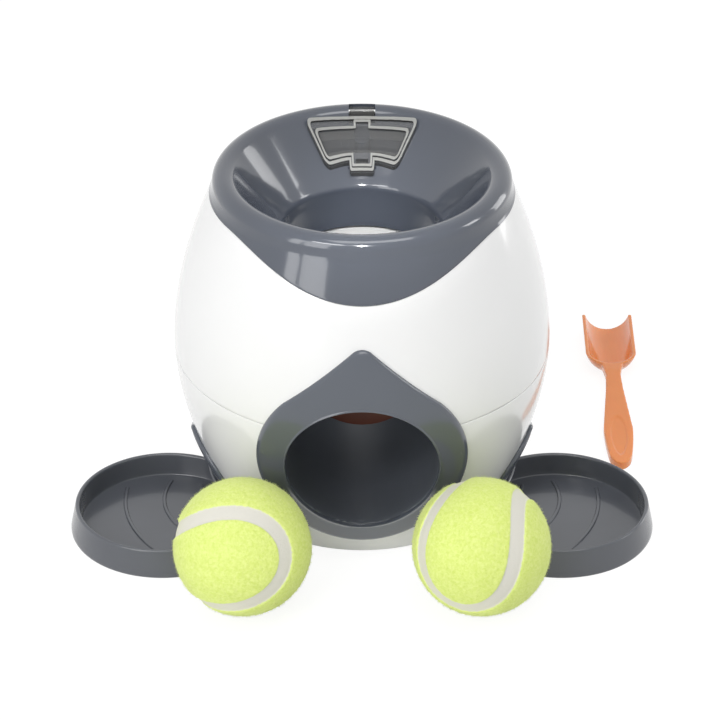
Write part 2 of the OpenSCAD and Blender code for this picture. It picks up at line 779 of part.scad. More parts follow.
module drop_tube() {
    color(white) difference() {
        union() {
            translate([0, 0, tube_joint_z]) cylinder(h = spout_z + 3.2 - tube_joint_z, r = tube_r_out);
            translate([0, 0, tube_joint_z]) cylinder(h = flange_t, r = flange_r);
            for (a = tube_screw_angles)
                at_angle(a, tube_screw_r, tube_joint_z) cylinder(h = tube_boss_h, r = bezel_boss_r);
        }
        translate([0, 0, tube_joint_z - 1]) cylinder(h = far / 10, r = tube_r_in);
        for (a = tube_screw_angles)
            at_angle(a, tube_screw_r, tube_joint_z - 1) cylinder(h = tube_boss_h + 2, r = screw_r + grip_gap);
    }
}

module tube_screws() {
    color(steel) for (a = tube_screw_angles)
        at_angle(a, tube_screw_r, tube_joint_z - flange_t) screw(flange_t + tube_boss_h - tip_gap);
}

// ---- Treat hopper and channels ----
hopper_skin = 1.8;
hopper_gap = 0.8;
hopper_top_r = cone_r(hopper_top_z, -funnel_wall) + 0.2;
hopper_ear_r = 4.4;
channel_rise = tan(channel_slope);
channel_low_z = housing_top_z + duct_wall;
inner_rear_y = housing_rear_y + duct_wall;
drum_gap = 0.5;
housing_front_y = shaft_y + drum_r + drum_gap + duct_wall;
channel_skin = duct_wall / cos(channel_slope);
channel_top_z = floor_z(-housing_front_y) + channel_h + channel_skin;
channel_x1 = sqrt(pow(barrel_r(channel_top_z) - shell_wall, 2) - pow(housing_front_y, 2)) - channel_gap;
channel_w = channel_x1 - channel_x - 2 * duct_wall;
duct_mid_x = channel_x + duct_wall + channel_w / 2;

function floor_z(y) = channel_low_z + (y + inner_rear_y) * channel_rise;

module hopper_form(inset, top) {
    floor_slope = (hopper_ridge_z - hopper_low_z) / (channel_x + duct_wall);
    wide = channel_x + duct_wall;
    drop = hopper_skin - inset;
    low_z = hopper_low_z - hopper_skin - 1;
    r_in = tube_r_out + 2 * hopper_gap + inset;
    intersection() {
        rotate_extrude() polygon(concat(
            [[r_in, low_z]],
            barrel_line(low_z, top, -shell_wall - hopper_gap - inset),
            [[hopper_top_r + inset, top], [r_in, cone_z(r_in, -funnel_wall) - 0.6 + inset * 2]]
        ));
        translate([0, far / 2, 0]) rotate([90, 0, 0]) linear_extrude(far / 2 - hopper_y - inset) polygon([
            [-far / 4, hopper_low_z - drop], [-wide, hopper_low_z - drop],
            [0, hopper_ridge_z - drop], [wide, hopper_low_z - drop],
            [far / 4, hopper_low_z - drop], [far / 4, far / 2], [-far / 4, far / 2]
        ]);
    }
}

module treat_hopper() {
    color(charcoal) difference() {
        union() {
            hopper_form(0, hopper_top_z);
            for (a = hopper_screw_angles) at_angle(a, rim_r, hopper_top_z - hopper_ear_t - 4)
                cylinder(h = hopper_ear_t + 4, r = hopper_ear_r);
        }
        difference() {
            hopper_form(hopper_skin, hopper_top_z + 0.01);
            for (a = hopper_screw_angles)
                at_angle(a, rim_r, hopper_low_z) cylinder(h = far / 10, r = hopper_ear_r);
        }
        for (a = hopper_screw_angles) at_angle(a, rim_r, 0) {
            cylinder(h = far / 2, r = screw_r + pass_gap);
            cylinder(h = hopper_top_z - hopper_ear_t, r = screw_head_r + fit_gap);
        }
        for (side = [-1, 1])
            translate([side * duct_mid_x - channel_w / 2, hopper_y - 1, hopper_low_z])
                cube([channel_w, hopper_skin + 2, channel_h - 0.6]);
    }
}

module hopper_screws() {
    color(steel) for (a = hopper_screw_angles)
        at_angle(a, rim_r, hopper_top_z - hopper_ear_t) screw(hopper_ear_t + 6);
}

module right_feed_channel() {
    z_top = channel_h + channel_skin;
    color(charcoal) difference() {
        across(channel_x, channel_x1) polygon([
            [-housing_front_y, housing_top_z], [-housing_rear_y, housing_top_z],
            [hopper_y, floor_z(hopper_y) - channel_skin], [hopper_y, floor_z(hopper_y) + z_top],
            [-housing_front_y, floor_z(-housing_front_y) + z_top]
        ]);
        across(channel_x + duct_wall, channel_x1 - duct_wall) polygon([
            [-housing_front_y + duct_wall, housing_top_z - 1], [-inner_rear_y, housing_top_z - 1],
            [-inner_rear_y, channel_low_z], [hopper_y + 1, floor_z(hopper_y + 1)],
            [hopper_y + 1, floor_z(hopper_y + 1) + channel_h],
            [-housing_front_y + duct_wall, floor_z(-housing_front_y + duct_wall) + channel_h]
        ]);
    }
}

module left_feed_channel() {
    on_left() right_feed_channel();
}

// ---- Drum housings ----
bracket_z = 86;
bracket_w = 12;

// The housing seen from the side, or where "inset" isn't 0 the room in it, which runs out at both ends
module housing_side(inset) {
    over = inset > 0 ? 1 : 0;
    translate([-housing_front_y + inset, housing_low_z - over])
        square([housing_front_y - housing_rear_y - 2 * inset, housing_top_z - housing_low_z + 2 * over]);
}

module right_drum_housing() {
    color(charcoal) difference() {
        union() {
            difference() {
                across(channel_x, channel_x1) housing_side(0);
                across(channel_x + duct_wall, channel_x1 - duct_wall) housing_side(duct_wall);
            }
            difference() {
                across(channel_x + duct_wall / 2, channel_x1 - duct_wall / 2) polygon([
                    [-inner_rear_y + 0.5, housing_top_z], [-shaft_y + drum_r * 0.6, shaft_z + drum_r],
                    [-shaft_y + drum_r * 0.6, shaft_z + 0.5], [-inner_rear_y + 0.5, shaft_z + 0.5]
                ]);
                x_bar(drum_r + drum_gap, 0, far / 4, -shaft_y, shaft_z);
            }
            across(cheek_out_x, channel_x + 0.5)
                translate([-shaft_y - bracket_w / 2, bracket_z]) square([bracket_w, 5]);
        }
        x_bar(shaft_r + 1.2, 0, far / 4, -shaft_y, shaft_z);
    }
}

module left_drum_housing() {
    on_left() right_drum_housing();
}

// ---- Treat chutes, from the housings down to the side outlets ----
chute_end_gap = 0.4;
window_top_z = window_z + window_r + 1;

module chute_side_form(inset) {
    polygon([
        [-housing_front_y + inset, housing_low_z + inset], [-housing_rear_y - inset, housing_low_z + inset],
        [2 - inset, window_top_z + 10], [4 - inset, window_low_z - 2 + inset],
        [-30 + inset, window_low_z - 2 + inset], [-housing_front_y + inset, window_top_z + 8]
    ]);
}

module chute_front_form(inset) {
    polygon([
        [channel_x + inset, housing_low_z + inset], [channel_x1 - inset, housing_low_z + inset],
        [channel_x1 - inset, window_top_z + 14 - inset / 2], [far / 4, window_top_z - inset],
        [far / 4, window_low_z - duct_wall + inset], [channel_x1 + 4.8, window_low_z - duct_wall + inset],
        [channel_x + inset, window_low_z + 8 + inset]
    ]);
}

module right_treat_chute() {
    color(charcoal) difference() {
        intersection() {
            across(channel_x, far / 4) chute_side_form(0);
            translate([0, 40, 0]) rotate([90, 0, 0]) linear_extrude(far / 3) chute_front_form(0);
            barrel_solid(window_low_z - 6, housing_low_z, -shell_wall - chute_end_gap);
        }
        intersection() {
            across(channel_x, far / 3) chute_side_form(duct_wall);
            translate([0, 40, 0]) rotate([90, 0, 0]) linear_extrude(far / 3) chute_front_form(duct_wall);
            union() {
                barrel_solid(window_low_z - 6, housing_low_z + 6, -shell_wall - chute_end_gap - duct_wall);
                facing(side_angle) window_outline(0);
            }
        }
    }
}

module left_treat_chute() {
    on_left() right_treat_chute();
}

// ---- Trigger: flap, shaft, drums, bushes, clips and the light return spring ----
module shaft_bushes() {
    color([0.85, 0.72, 0.4]) for (side = [0, 1]) mirror([side, 0, 0]) difference() {
        union() {
            x_bar(bush_r, cheek_mid_x - cheek_t / 2, cheek_out_x + 0.5, -shaft_y, shaft_z);
            x_bar(bush_r + 1.4, cheek_out_x, cheek_out_x + bush_flange_t, -shaft_y, shaft_z);
        }
        x_bar(shaft_r + shaft_gap, 0, far / 4, -shaft_y, shaft_z);
    }
}

module trigger_shaft() {
    color(steel) x_bar(shaft_r, -channel_x1 - 1.5, channel_x1 + 1.5, -shaft_y, shaft_z);
}

module trigger_flap() {
    round_z = shaft_z - flap_len + flap_half_w;
    color(orange) difference() {
        union() {
            x_bar(hub_r, -flap_half_w, flap_half_w, -shaft_y, shaft_z);
            translate([0, -shaft_y + flap_t / 2, 0]) rotate([90, 0, 0]) linear_extrude(flap_t)
                polygon(concat(
                    [[flap_half_w, shaft_z], [-flap_half_w, shaft_z]],
                    arc(0, round_z, flap_half_w, 180, 360, 24)
                ));
        }
        x_bar(shaft_r + grip_gap, -far / 4, far / 4, -shaft_y, shaft_z);
    }
}

// Place of the treat pocket, which is tilted to the rear at rest
pocket_angle = 20;
pocket_y = -shaft_y + drum_r * sin(pocket_angle);
pocket_z = shaft_z + drum_r * cos(pocket_angle);
drum_len = channel_w - drum_play;
pocket_len = drum_len * 0.8;

module right_drum() {
    color([0.8, 0.8, 0.78]) difference() {
        x_bar(drum_r, duct_mid_x - drum_len / 2, duct_mid_x + drum_len / 2, -shaft_y, shaft_z);
        x_bar(shaft_r + grip_gap, 0, far / 4, -shaft_y, shaft_z);
        x_bar(pocket_r, duct_mid_x - pocket_len / 2, duct_mid_x + pocket_len / 2, pocket_y, pocket_z);
    }
}

module left_drum() {
    on_left() right_drum();
}

module shaft_clips() {
    color(steel) for (side = [0, 1]) mirror([side, 0, 0]) difference() {
        x_bar(shaft_r + 1.6, channel_x1 + 0.4, channel_x1 + 1.2, -shaft_y, shaft_z);
        x_bar(shaft_r + grip_gap, 0, far / 4, -shaft_y, shaft_z);
    }
}

spring_wire_r = 0.4;
spring_r = shaft_r + 1.1;
spring_turns = 4;
spring_pitch = 1.2;
spring_sides = 6;
spring_rings = 16;

// Points of a ring of the spring's wire, "turn" turns along the coil
function spring_ring(turn) = [for (i = [0 : spring_sides - 1]) let (
        a = 360 * turn, b = 360 * i / spring_sides, r = spring_r + spring_wire_r * cos(b)
    ) [spring_pitch * turn + spring_wire_r * sin(b), r * cos(a), r * sin(a)]];

module return_spring() {
    rings = spring_turns * spring_rings;
    side = [for (i = [0 : rings]) each spring_ring(i / spring_rings)];
    last = rings * spring_sides;
    walls = [for (i = [0 : rings - 1], j = [0 : spring_sides - 1]) let (
            p = i * spring_sides + j, q = i * spring_sides + (j + 1) % spring_sides
        ) each [[p, p + spring_sides, q], [q, p + spring_sides, q + spring_sides]]];
    caps = concat(
        [for (j = [1 : spring_sides - 2]) [0, j, j + 1]],
        [for (j = [1 : spring_sides - 2]) [last, last + j + 1, last + j]]
    );
    color(steel) translate([cheek_out_x + bush_flange_t + spring_wire_r + 0.2, -shaft_y, shaft_z])
        polyhedron(points = side, faces = concat(walls, caps));
}

// ---- Trays ----
rib_radii = [80, 100, 120];
rib_h = 0.8;
rib_w = 1.8;
dish_foot_r = tray_foot_r - tray_wall - 3;

module tray_blank() {
    translate([tray_x, -tray_y, 0]) rotate_extrude() polygon([
        [0, 0], [tray_foot_r, 0], [tray_foot_r, 1.5], [tray_rim_r + 0.6, tray_h - 0.6],
        [tray_rim_r, tray_h], [0, tray_h]
    ]);
}

module tray_hollow() {
    translate([tray_x, -tray_y, 0]) rotate_extrude() polygon([
        [0, tray_floor], [dish_foot_r - 1, tray_floor], [tray_rim_r - tray_wall, tray_floor + 4],
        [tray_rim_r - tray_wall + 0.3, tray_h + 1], [0, tray_h + 1]
    ]);
}

module right_tray() {
    body_side = bezel_proud + tray_gap;
    color(charcoal) difference() {
        tray_blank();
        difference() {
            tray_hollow();
            barrel_solid(0, tray_h + 2, body_side + tray_wall);
            for (r = rib_radii) difference() {
                cylinder(h = tray_floor + rib_h, r = r + rib_w / 2);
                translate([0, 0, -1]) cylinder(h = far / 10, r = r - rib_w / 2);
            }
        }
        barrel_solid(-1, tray_h + 2, body_side);
    }
    color(charcoal) intersection() {
        tongue_slot(0);
        barrel_layer(tongue_z - 1, tongue_z + tongue_t + 1, -shell_wall - 4, body_side + 0.8);
    }
}

module left_tray() {
    on_left() right_tray();
}

// ---- Balls: a rubber core under a felt cover ----
ball_y = body_r + ball_ahead;

module ball_core(x) {
    color([0.25, 0.25, 0.25]) translate([x, -ball_y, ball_d / 2]) difference() {
        sphere(r = ball_d / 2 - felt_t);
        sphere(r = ball_d / 2 - felt_t - core_wall);
    }
}

module ball_felt(x) {
    color(lime) translate([x, -ball_y, ball_d / 2]) difference() {
        sphere(r = ball_d / 2);
        sphere(r = ball_d / 2 - felt_t);
    }
}

module left_ball_core() {
    ball_core(-ball_x);
}

module left_ball_felt() {
    ball_felt(-ball_x);
}

module right_ball_core() {
    ball_core(ball_x);
}

module right_ball_felt() {
    ball_felt(ball_x);
}

// ---- Scoop, lying beside the body with its bowl away from the front ----
scoop_x = tray_x + scoop_out;
scoop_end_y = ball_y + ball_d / 2;
handle_t = 4.5;

module scoop_plan() {
    neck_y = bowl_len;
    wide_y = scoop_len - 30;
    polygon([
        [-bowl_r * 0.7, bowl_len - bowl_r], [-neck_half_w - 1.5, neck_y - 2],
        [-neck_half_w, neck_y + 8], [-neck_half_w - 0.6, neck_y + 20],
        [-handle_half_w, wide_y], [-handle_half_w, scoop_len - handle_half_w],
        [handle_half_w, scoop_len - handle_half_w], [handle_half_w, wide_y],
        [neck_half_w + 0.6, neck_y + 20], [neck_half_w, neck_y + 8],
        [neck_half_w + 1.5, neck_y - 2], [bowl_r * 0.7, bowl_len - bowl_r]
    ]);
    translate([0, scoop_len - handle_half_w]) circle(r = handle_half_w);
}

module scoop_bowl(r, from) {
    translate([0, bowl_len - bowl_r, bowl_r]) {
        rotate([90, 0, 0]) cylinder(h = bowl_len - bowl_r - from, r = r);
        sphere(r = r);
    }
}

module treat_scoop() {
    color(orange) translate([scoop_x, scoop_end_y, 0]) mirror([0, 1, 0]) difference() {
        intersection() {
            union() {
                scoop_bowl(bowl_r, 0);
                intersection() {
                    linear_extrude(far / 10) scoop_plan();
                    across(-far / 10, far / 10) polygon([
                        [bowl_len - bowl_r, bowl_h - handle_t], [bowl_len + 4, bowl_h - handle_t],
                        [scoop_len, 0], [scoop_len, handle_t],
                        [bowl_len + 4, bowl_h], [bowl_len - bowl_r, bowl_h]
                    ]);
                }
            }
            translate([-far / 10, -1, 0]) cube([far / 5, far / 2, bowl_h]);
        }
        scoop_bowl(bowl_r - scoop_wall, -2);
    }
}

funnel_top();
upper_shell();
lower_shell();
front_bezel();
left_outlet_bezel();
right_outlet_bezel();
base_cover();
rubber_feet();
drop_tube();
outlet_chute();
flap_cover();
treat_hopper();
left_feed_channel();
right_feed_channel();
left_drum_housing();
right_drum_housing();
left_treat_chute();
right_treat_chute();
shaft_bushes();
return_spring();
trigger_flap();
trigger_shaft();
left_drum();
right_drum();
shaft_clips();
hatch_lid();
hatch_pin();
left_tray();
right_tray();
left_ball_core();
left_ball_felt();
right_ball_core();
right_ball_felt();
treat_scoop();
shell_screws();
funnel_screws();
bezel_screws();
base_screws();
hopper_screws();
tube_screws();
cover_screws();
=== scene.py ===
import json
import math
import random

import bpy
from mathutils import Euler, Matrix, Vector, kdtree, noise


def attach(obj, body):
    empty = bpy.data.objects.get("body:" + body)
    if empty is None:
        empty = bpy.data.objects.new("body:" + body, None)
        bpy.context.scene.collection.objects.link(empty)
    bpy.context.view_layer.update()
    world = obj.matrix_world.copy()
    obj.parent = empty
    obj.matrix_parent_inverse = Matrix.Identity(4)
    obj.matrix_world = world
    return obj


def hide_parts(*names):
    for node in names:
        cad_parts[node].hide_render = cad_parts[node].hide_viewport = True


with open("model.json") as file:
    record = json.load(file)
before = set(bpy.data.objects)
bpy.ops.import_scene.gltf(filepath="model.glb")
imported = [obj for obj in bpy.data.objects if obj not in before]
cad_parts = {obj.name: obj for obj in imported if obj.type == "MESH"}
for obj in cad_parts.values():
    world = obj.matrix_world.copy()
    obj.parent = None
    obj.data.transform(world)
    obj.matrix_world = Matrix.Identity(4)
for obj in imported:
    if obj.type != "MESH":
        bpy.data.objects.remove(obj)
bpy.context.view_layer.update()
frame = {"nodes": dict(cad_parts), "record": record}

# ---- Camera ----
# The set is seen from the front, 31 degrees from above, through a long lens. Sizes below are in
# millimetres, and mm turns them to metres.
mm = 0.001
camera_data = bpy.data.cameras.new("camera")
camera_data.sensor_width = 36
camera_data.lens = 185.15
camera = bpy.data.objects.new("camera", camera_data)
bpy.context.scene.collection.objects.link(camera)
camera.location = (-0.97 * mm, -1539.43 * mm, 1000.92 * mm)
camera.rotation_euler = (math.radians(58.786), 0, 0)
bpy.context.scene.camera = camera

# ---- Room ----
# A white table under soft lamps. Only the colours of the table and the room make the background
# white, and the table keeps the set's soft shadow.
scene = bpy.context.scene
scene.view_settings.view_transform = "Standard"


def seen_directly(nodes, links):
    """Is 1 for what the camera, a gloss or clear plastic sees."""
    path = nodes.new("ShaderNodeLightPath")
    rays = None
    for ray in ("Is Camera Ray", "Is Glossy Ray", "Is Transmission Ray"):
        if rays is None:
            rays = path.outputs[ray]
            continue
        total = nodes.new("ShaderNodeMath")
        total.operation = "ADD"
        total.use_clamp = True
        links.new(rays, total.inputs[0])
        links.new(path.outputs[ray], total.inputs[1])
        rays = total.outputs[0]
    return rays


world = bpy.data.worlds.new("room")
world.use_nodes = True
scene.world = world
nodes, links = world.node_tree.nodes, world.node_tree.links
nodes.clear()
room_light = nodes.new("ShaderNodeBackground")
room_light.inputs["Color"].default_value = (0.98, 0.985, 1.0, 1)
room_light.inputs["Strength"].default_value = 0.46
room_white = nodes.new("ShaderNodeBackground")
room_white.inputs["Color"].default_value = (1, 1, 1, 1)
room_white.inputs["Strength"].default_value = 1
room_mix = nodes.new("ShaderNodeMixShader")
links.new(seen_directly(nodes, links), room_mix.inputs["Fac"])
links.new(room_light.outputs[0], room_mix.inputs[1])
links.new(room_white.outputs[0], room_mix.inputs[2])
links.new(room_mix.outputs[0], nodes.new("ShaderNodeOutputWorld").inputs["Surface"])

bpy.ops.object.select_all(action="DESELECT")
bpy.ops.mesh.primitive_plane_add(size=8, location=(0, 0, -0.05 * mm))
table = bpy.context.object
table.name = "table"
table_finish = bpy.data.materials.new("table_white")
table_finish.use_nodes = True
nodes, links = table_finish.node_tree.nodes, table_finish.node_tree.links
nodes.clear()
table_lit = nodes.new("ShaderNodeBsdfDiffuse")
table_lit.inputs["Color"].default_value = (0.86, 0.86, 0.85, 1)
table_glow = nodes.new("ShaderNodeEmission")
table_glow.inputs["Strength"].default_value = 1.13
table_mix = nodes.new("ShaderNodeMixShader")
table_share = nodes.new("ShaderNodeMath")
table_share.operation = "MULTIPLY"
table_share.inputs[1].default_value = 0.79
links.new(seen_directly(nodes, links), table_share.inputs[0])
links.new(table_share.outputs[0], table_mix.inputs["Fac"])
links.new(table_lit.outputs[0], table_mix.inputs[1])
links.new(table_glow.outputs[0], table_mix.inputs[2])
links.new(table_mix.outputs[0], nodes.new("ShaderNodeOutputMaterial").inputs["Surface"])
table.data.materials.append(table_finish)

# name, place, size across, size along, power
for name, place, wide, high, watts in (
    ("lamp_left_narrow", (-1.22, -1.08, 0.62), 0.26, 1.15, 3.2),
    ("lamp_left_wide", (-0.88, -1.36, 0.62), 0.52, 1.15, 6.2),
    ("lamp_right", (1.42, 0.0, 0.78), 0.34, 0.34, 2.2),
    ("lamp_right_rear", (1.25, 0.72, 0.3), 0.45, 0.75, 3.2),
    ("lamp_top", (0.12, -0.5, 1.75), 1.2, 0.6, 8),
    ("lamp_high_front", (-0.5, -0.95, 1.1), 0.5, 0.2, 3.2),
):
    lamp_data = bpy.data.lights.new(name, "AREA")
    lamp_data.shape = "RECTANGLE"
    lamp_data.size = wide
    lamp_data.size_y = high
    lamp_data.energy = watts
    lamp = bpy.data.objects.new(name, lamp_data)
    scene.collection.objects.link(lamp)
    lamp.location = place
    lamp.rotation_euler = (Vector((0, 0, 0.08)) - Vector(place)).to_track_quat("-Z", "Y").to_euler()

# A small spot reaches down the throat, to the drop tube's white wall.
spot_data = bpy.data.lights.new("lamp_throat", "SPOT")
spot_data.energy = 150
spot_data.shadow_soft_size = 0.04
spot_data.spot_size = math.radians(2.6)
spot_data.spot_blend = 0.5
spot = bpy.data.objects.new("lamp_throat", spot_data)
scene.collection.objects.link(spot)
spot.location = (0, -1.05, 1.08)
spot.rotation_euler = (Vector((0, 0.033, 0.121)) - spot.location).to_track_quat("-Z", "Y").to_euler()

# ---- White shells ----
# The barrel is two turned shells of glossy white plastic. They meet at a fine seam below the middle,
# where four screws hold them together, and the upper one ends in a wave under the grey skirt.
seam_z = 80.2
seam_gap = 0.22
shell_wall = 2.5
foot_z = 0.8


def barrel_r(z):
    """Radius of the barrel's outside at height z."""
    away = abs(z - 84.31) / 100
    return 90.69 - (29.36 if z > 84.31 else 35.29) * away**1.823


wave_high = 162
wave_drop = 17.3
wave_half_angle = 60


def apron_z(x, y):
    """Height of the skirt's wavy edge in the direction of (x, y)."""
    angle = math.degrees(math.atan2(abs(x), abs(y)))
    if angle >= wave_half_angle:
        return wave_high
    return wave_high - wave_drop * (1 + math.cos(math.pi * angle / wave_half_angle)) / 2


def plastic(name, colour, roughness, fleck=0.03, grain=0.0, grain_size=0.4, coat=0.0):
    """Moulded plastic. Fleck is how much its colour varies, grain its texture's height in mm."""
    material = bpy.data.materials.new(name)
    material.use_nodes = True
    nodes, links = material.node_tree.nodes, material.node_tree.links
    shader = nodes["Principled BSDF"]
    shader.inputs["Coat Weight"].default_value = coat
    shader.inputs["Coat Roughness"].default_value = 0.04
    place = nodes.new("ShaderNodeTexCoord")
    cloud = nodes.new("ShaderNodeTexNoise")
    cloud.inputs["Scale"].default_value = 28
    cloud.inputs["Detail"].default_value = 3
    links.new(place.outputs["Object"], cloud.inputs["Vector"])
    tint = nodes.new("ShaderNodeValToRGB")
    for stop, side in zip(tint.color_ramp.elements, (-1, 1)):
        stop.position = 0.5 + 0.2 * side
        stop.color = (*(c * (1 + side * fleck) for c in colour), 1)
    links.new(cloud.outputs["Fac"], tint.inputs["Fac"])
    links.new(tint.outputs["Color"], shader.inputs["Base Color"])
    gloss = nodes.new("ShaderNodeMapRange")
    gloss.inputs["To Min"].default_value = roughness * 0.85
    gloss.inputs["To Max"].default_value = roughness * 1.15
    links.new(cloud.outputs["Fac"], gloss.inputs["Value"])
    links.new(gloss.outputs["Result"], shader.inputs["Roughness"])
    if grain:
        pores = nodes.new("ShaderNodeTexNoise")
        pores.inputs["Scale"].default_value = 1 / (grain_size * mm)
        pores.inputs["Detail"].default_value = 2
        links.new(place.outputs["Object"], pores.inputs["Vector"])
        relief = nodes.new("ShaderNodeBump")
        relief.inputs["Strength"].default_value = 0.6
        relief.inputs["Distance"].default_value = grain * mm
        links.new(pores.outputs["Fac"], relief.inputs["Height"])
        links.new(relief.outputs["Normal"], shader.inputs["Normal"])
    return material


def start_ring(name, place):
    """A new piece with one point at the place, open in edit mode."""
    bpy.ops.object.select_all(action="DESELECT")
    bpy.ops.mesh.primitive_plane_add(size=mm, location=place)
    bpy.context.object.name = name
    bpy.ops.object.transform_apply(location=True)
    bpy.ops.object.mode_set(mode="EDIT")
    bpy.ops.mesh.select_all(action="SELECT")
    bpy.ops.mesh.merge(type="CENTER")
    return bpy.context.object


def turned(name, outline, steps=256, centre=(0, 0), start=90, angle=360):
    """Spins a closed outline of (radius, height) points, in millimetres, about an upright axis."""
    across = Vector((math.cos(math.radians(start)), math.sin(math.radians(start)), 0))
    middle = Vector((*centre, 0))
    points = [(middle + across * r + Vector((0, 0, z))) * mm for r, z in outline]
    piece = start_ring(name, points[0])
    for here, there in zip(points, points[1:]):
        bpy.ops.mesh.extrude_region_move(TRANSFORM_OT_translate={"value": there - here})
    bpy.ops.mesh.select_all(action="SELECT")
    bpy.ops.mesh.edge_face_add()
    if angle == 360:
        bpy.ops.mesh.delete(type="ONLY_FACE")
        bpy.ops.mesh.select_all(action="SELECT")
    bpy.ops.mesh.spin(
        steps=steps, angle=-math.radians(angle), center=middle * mm, axis=(0, 0, 1)
    )
    bpy.ops.mesh.select_all(action="SELECT")
    bpy.ops.mesh.remove_doubles(threshold=0.001 * mm)
    bpy.ops.mesh.normals_make_consistent(inside=False)
    bpy.ops.object.mode_set(mode="OBJECT")
    return piece


def cut(piece, tool, how="DIFFERENCE"):
    """Cuts the tool's form out of the piece, and removes the tool."""
    bpy.ops.object.select_all(action="DESELECT")
    bpy.context.view_layer.objects.active = piece
    piece.select_set(True)
    modifier = piece.modifiers.new("cut", "BOOLEAN")
    modifier.operation = how
    modifier.object = tool
    modifier.solver = "EXACT"
    bpy.ops.object.modifier_apply(modifier="cut")
    bpy.data.objects.remove(tool)


def smooth(piece, angle=32):
    """Shades the piece smooth, but keeps its corners."""
    bpy.ops.object.select_all(action="DESELECT")
    bpy.context.view_layer.objects.active = piece
    piece.select_set(True)
    bpy.ops.object.shade_smooth_by_angle(angle=math.radians(angle))


def rod(radius, ends, sides=96):
    """A round tool between two points, in millimetres."""
    low, high = (Vector(p) * mm for p in ends)
    bpy.ops.object.select_all(action="DESELECT")
    bpy.ops.mesh.primitive_cylinder_add(
        vertices=sides,
        radius=radius * mm,
        depth=(high - low).length,
        location=(low + high) / 2,
        rotation=(high - low).to_track_quat("Z", "Y").to_euler(),
    )
    return bpy.context.object


def finished(piece, body, slot, material, *replaced, angle=32):
    """Gives the piece its finish and its body, and hides the plain solids that it stands for."""
    piece.data.materials.clear()
    piece.data.materials.append(material)
    smooth(piece, angle)
    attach(piece, body)
    if replaced:
        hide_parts(*replaced)


def stacked(low, high, step):
    """Heights from low to high, about a step apart."""
    count = max(1, round((high - low) / step))
    return [low + (high - low) * i / count for i in range(count + 1)]


def bend(r, z, radius, first, last, parts):
    """Points of a round corner in the outline."""
    turns = [math.radians(first + (last - first) * i / parts) for i in range(parts + 1)]
    return [(r + radius * math.cos(a), z + radius * math.sin(a)) for a in turns]


def slab(name, outline, low, high):
    """A piece with an outline of (y, z) points, in millimetres, that reaches from low to high along X."""
    points = [Vector((low, *p)) * mm for p in outline]
    piece = start_ring(name, points[0])
    for here, there in zip(points, points[1:]):
        bpy.ops.mesh.extrude_region_move(TRANSFORM_OT_translate={"value": there - here})
    bpy.ops.mesh.select_all(action="SELECT")
    bpy.ops.mesh.edge_face_add()
    bpy.ops.mesh.extrude_region_move(TRANSFORM_OT_translate={"value": Vector((high - low, 0, 0)) * mm})
    bpy.ops.mesh.select_all(action="SELECT")
    bpy.ops.mesh.normals_make_consistent(inside=False)
    bpy.ops.object.mode_set(mode="OBJECT")
    return piece


shell_white = plastic("gloss_white", (0.86, 0.86, 0.855), 0.16, fleck=0.004, coat=0.3)


def shell_outline(low, high, edge):
    """A shell's wall from low to high, with its edge at the seam rounded."""
    outside = [(barrel_r(z), z) for z in stacked(low, high, 1.6)]
    inside = [(barrel_r(z) - shell_wall, z) for z in reversed(stacked(low, high, 3))]
    if edge == "low":
        r, z = outside[0]
        outside[0:1] = [(r - 0.22, z), (r - 0.06, z + 0.06), (r, z + 0.22)]
    else:
        r, z = outside[-1]
        outside[-1:] = [(r, z - 0.22), (r - 0.06, z - 0.06), (r - 0.22, z)]
    return outside + inside


def wave_top(piece, low, gap):
    """Draws the piece's top edge to the skirt's wave."""
    for point in piece.data.vertices:
        x, y, z = point.co / mm
        if z > low:
            height = low + (z - low) * (apron_z(x, y) - gap - low) / (wave_high - low)
            depth = barrel_r(z) - math.hypot(x, y)
            turn = math.atan2(y, x)
            r = barrel_r(height) - depth
            point.co = Vector((r * math.cos(turn), r * math.sin(turn), height)) * mm


outlet_r = 36.2
outlet_z = 59.5
chute_bore_r = 38.7
chute_way = ((0, -40, outlet_z), (0, -130, outlet_z))
side_angle = 78
upper_shell = turned("white_shell_upper", shell_outline(seam_z + seam_gap / 2, wave_high, "low"))
wave_top(upper_shell, 128, 0.25)
cut(upper_shell, rod(chute_bore_r, chute_way))
finished(upper_shell, "base", "shell_white", shell_white, "upper_shell")

lower_shell = turned("white_shell_lower", shell_outline(foot_z, seam_z - seam_gap / 2, "high"))
cut(lower_shell, rod(chute_bore_r, chute_way))
window_r, window_low, window_z = 11.5, 17, 24.5
window_lip = 2.1
for side in (-1, 1):
    grown = window_r + window_lip
    low_corners = [(-grown, window_low - window_lip), (grown, window_low - window_lip)]
    window = slab("window", low_corners + bend(0, window_z, grown, 0, 180, 48), 50, 110)
    window.rotation_euler.z = math.radians(side_angle - 90 if side > 0 else 270 - side_angle)
    cut(lower_shell, window)
finished(lower_shell, "base", "shell_white", shell_white, "lower_shell")

# ---- Funnel ----
# One moulding of glossy blue-grey plastic: a rolled rim, a bowl that leads to the throat, the spout
# that stands in the drop tube, and the wavy skirt outside. Screws hold it from below.
slate = plastic("gloss_slate", (0.075, 0.085, 0.108), 0.13, 0.03, grain=0.004, grain_size=1.6, coat=0.5)
rim_r = 65
rim_t = 6
rim_z = 167.7
throat_r = 37.4
throat_z = 140.6
throat_round = 6
spout_r = 34.8
spout_z = 123.5
funnel_wall = 2.4
cone_low = (throat_r + 1.8, throat_z + 4.1)
cone_rise = (rim_z + rim_t * 0.63 - cone_low[1]) / (rim_r - rim_t * 0.777 - cone_low[0])
cone_angle = 90 + math.degrees(math.atan(cone_rise))


def cone_z(r, above=0):
    """Height of the funnel's bowl at radius r, or a distance above its surface."""
    return cone_low[1] + (r - cone_low[0]) * cone_rise + above * math.hypot(1, cone_rise)


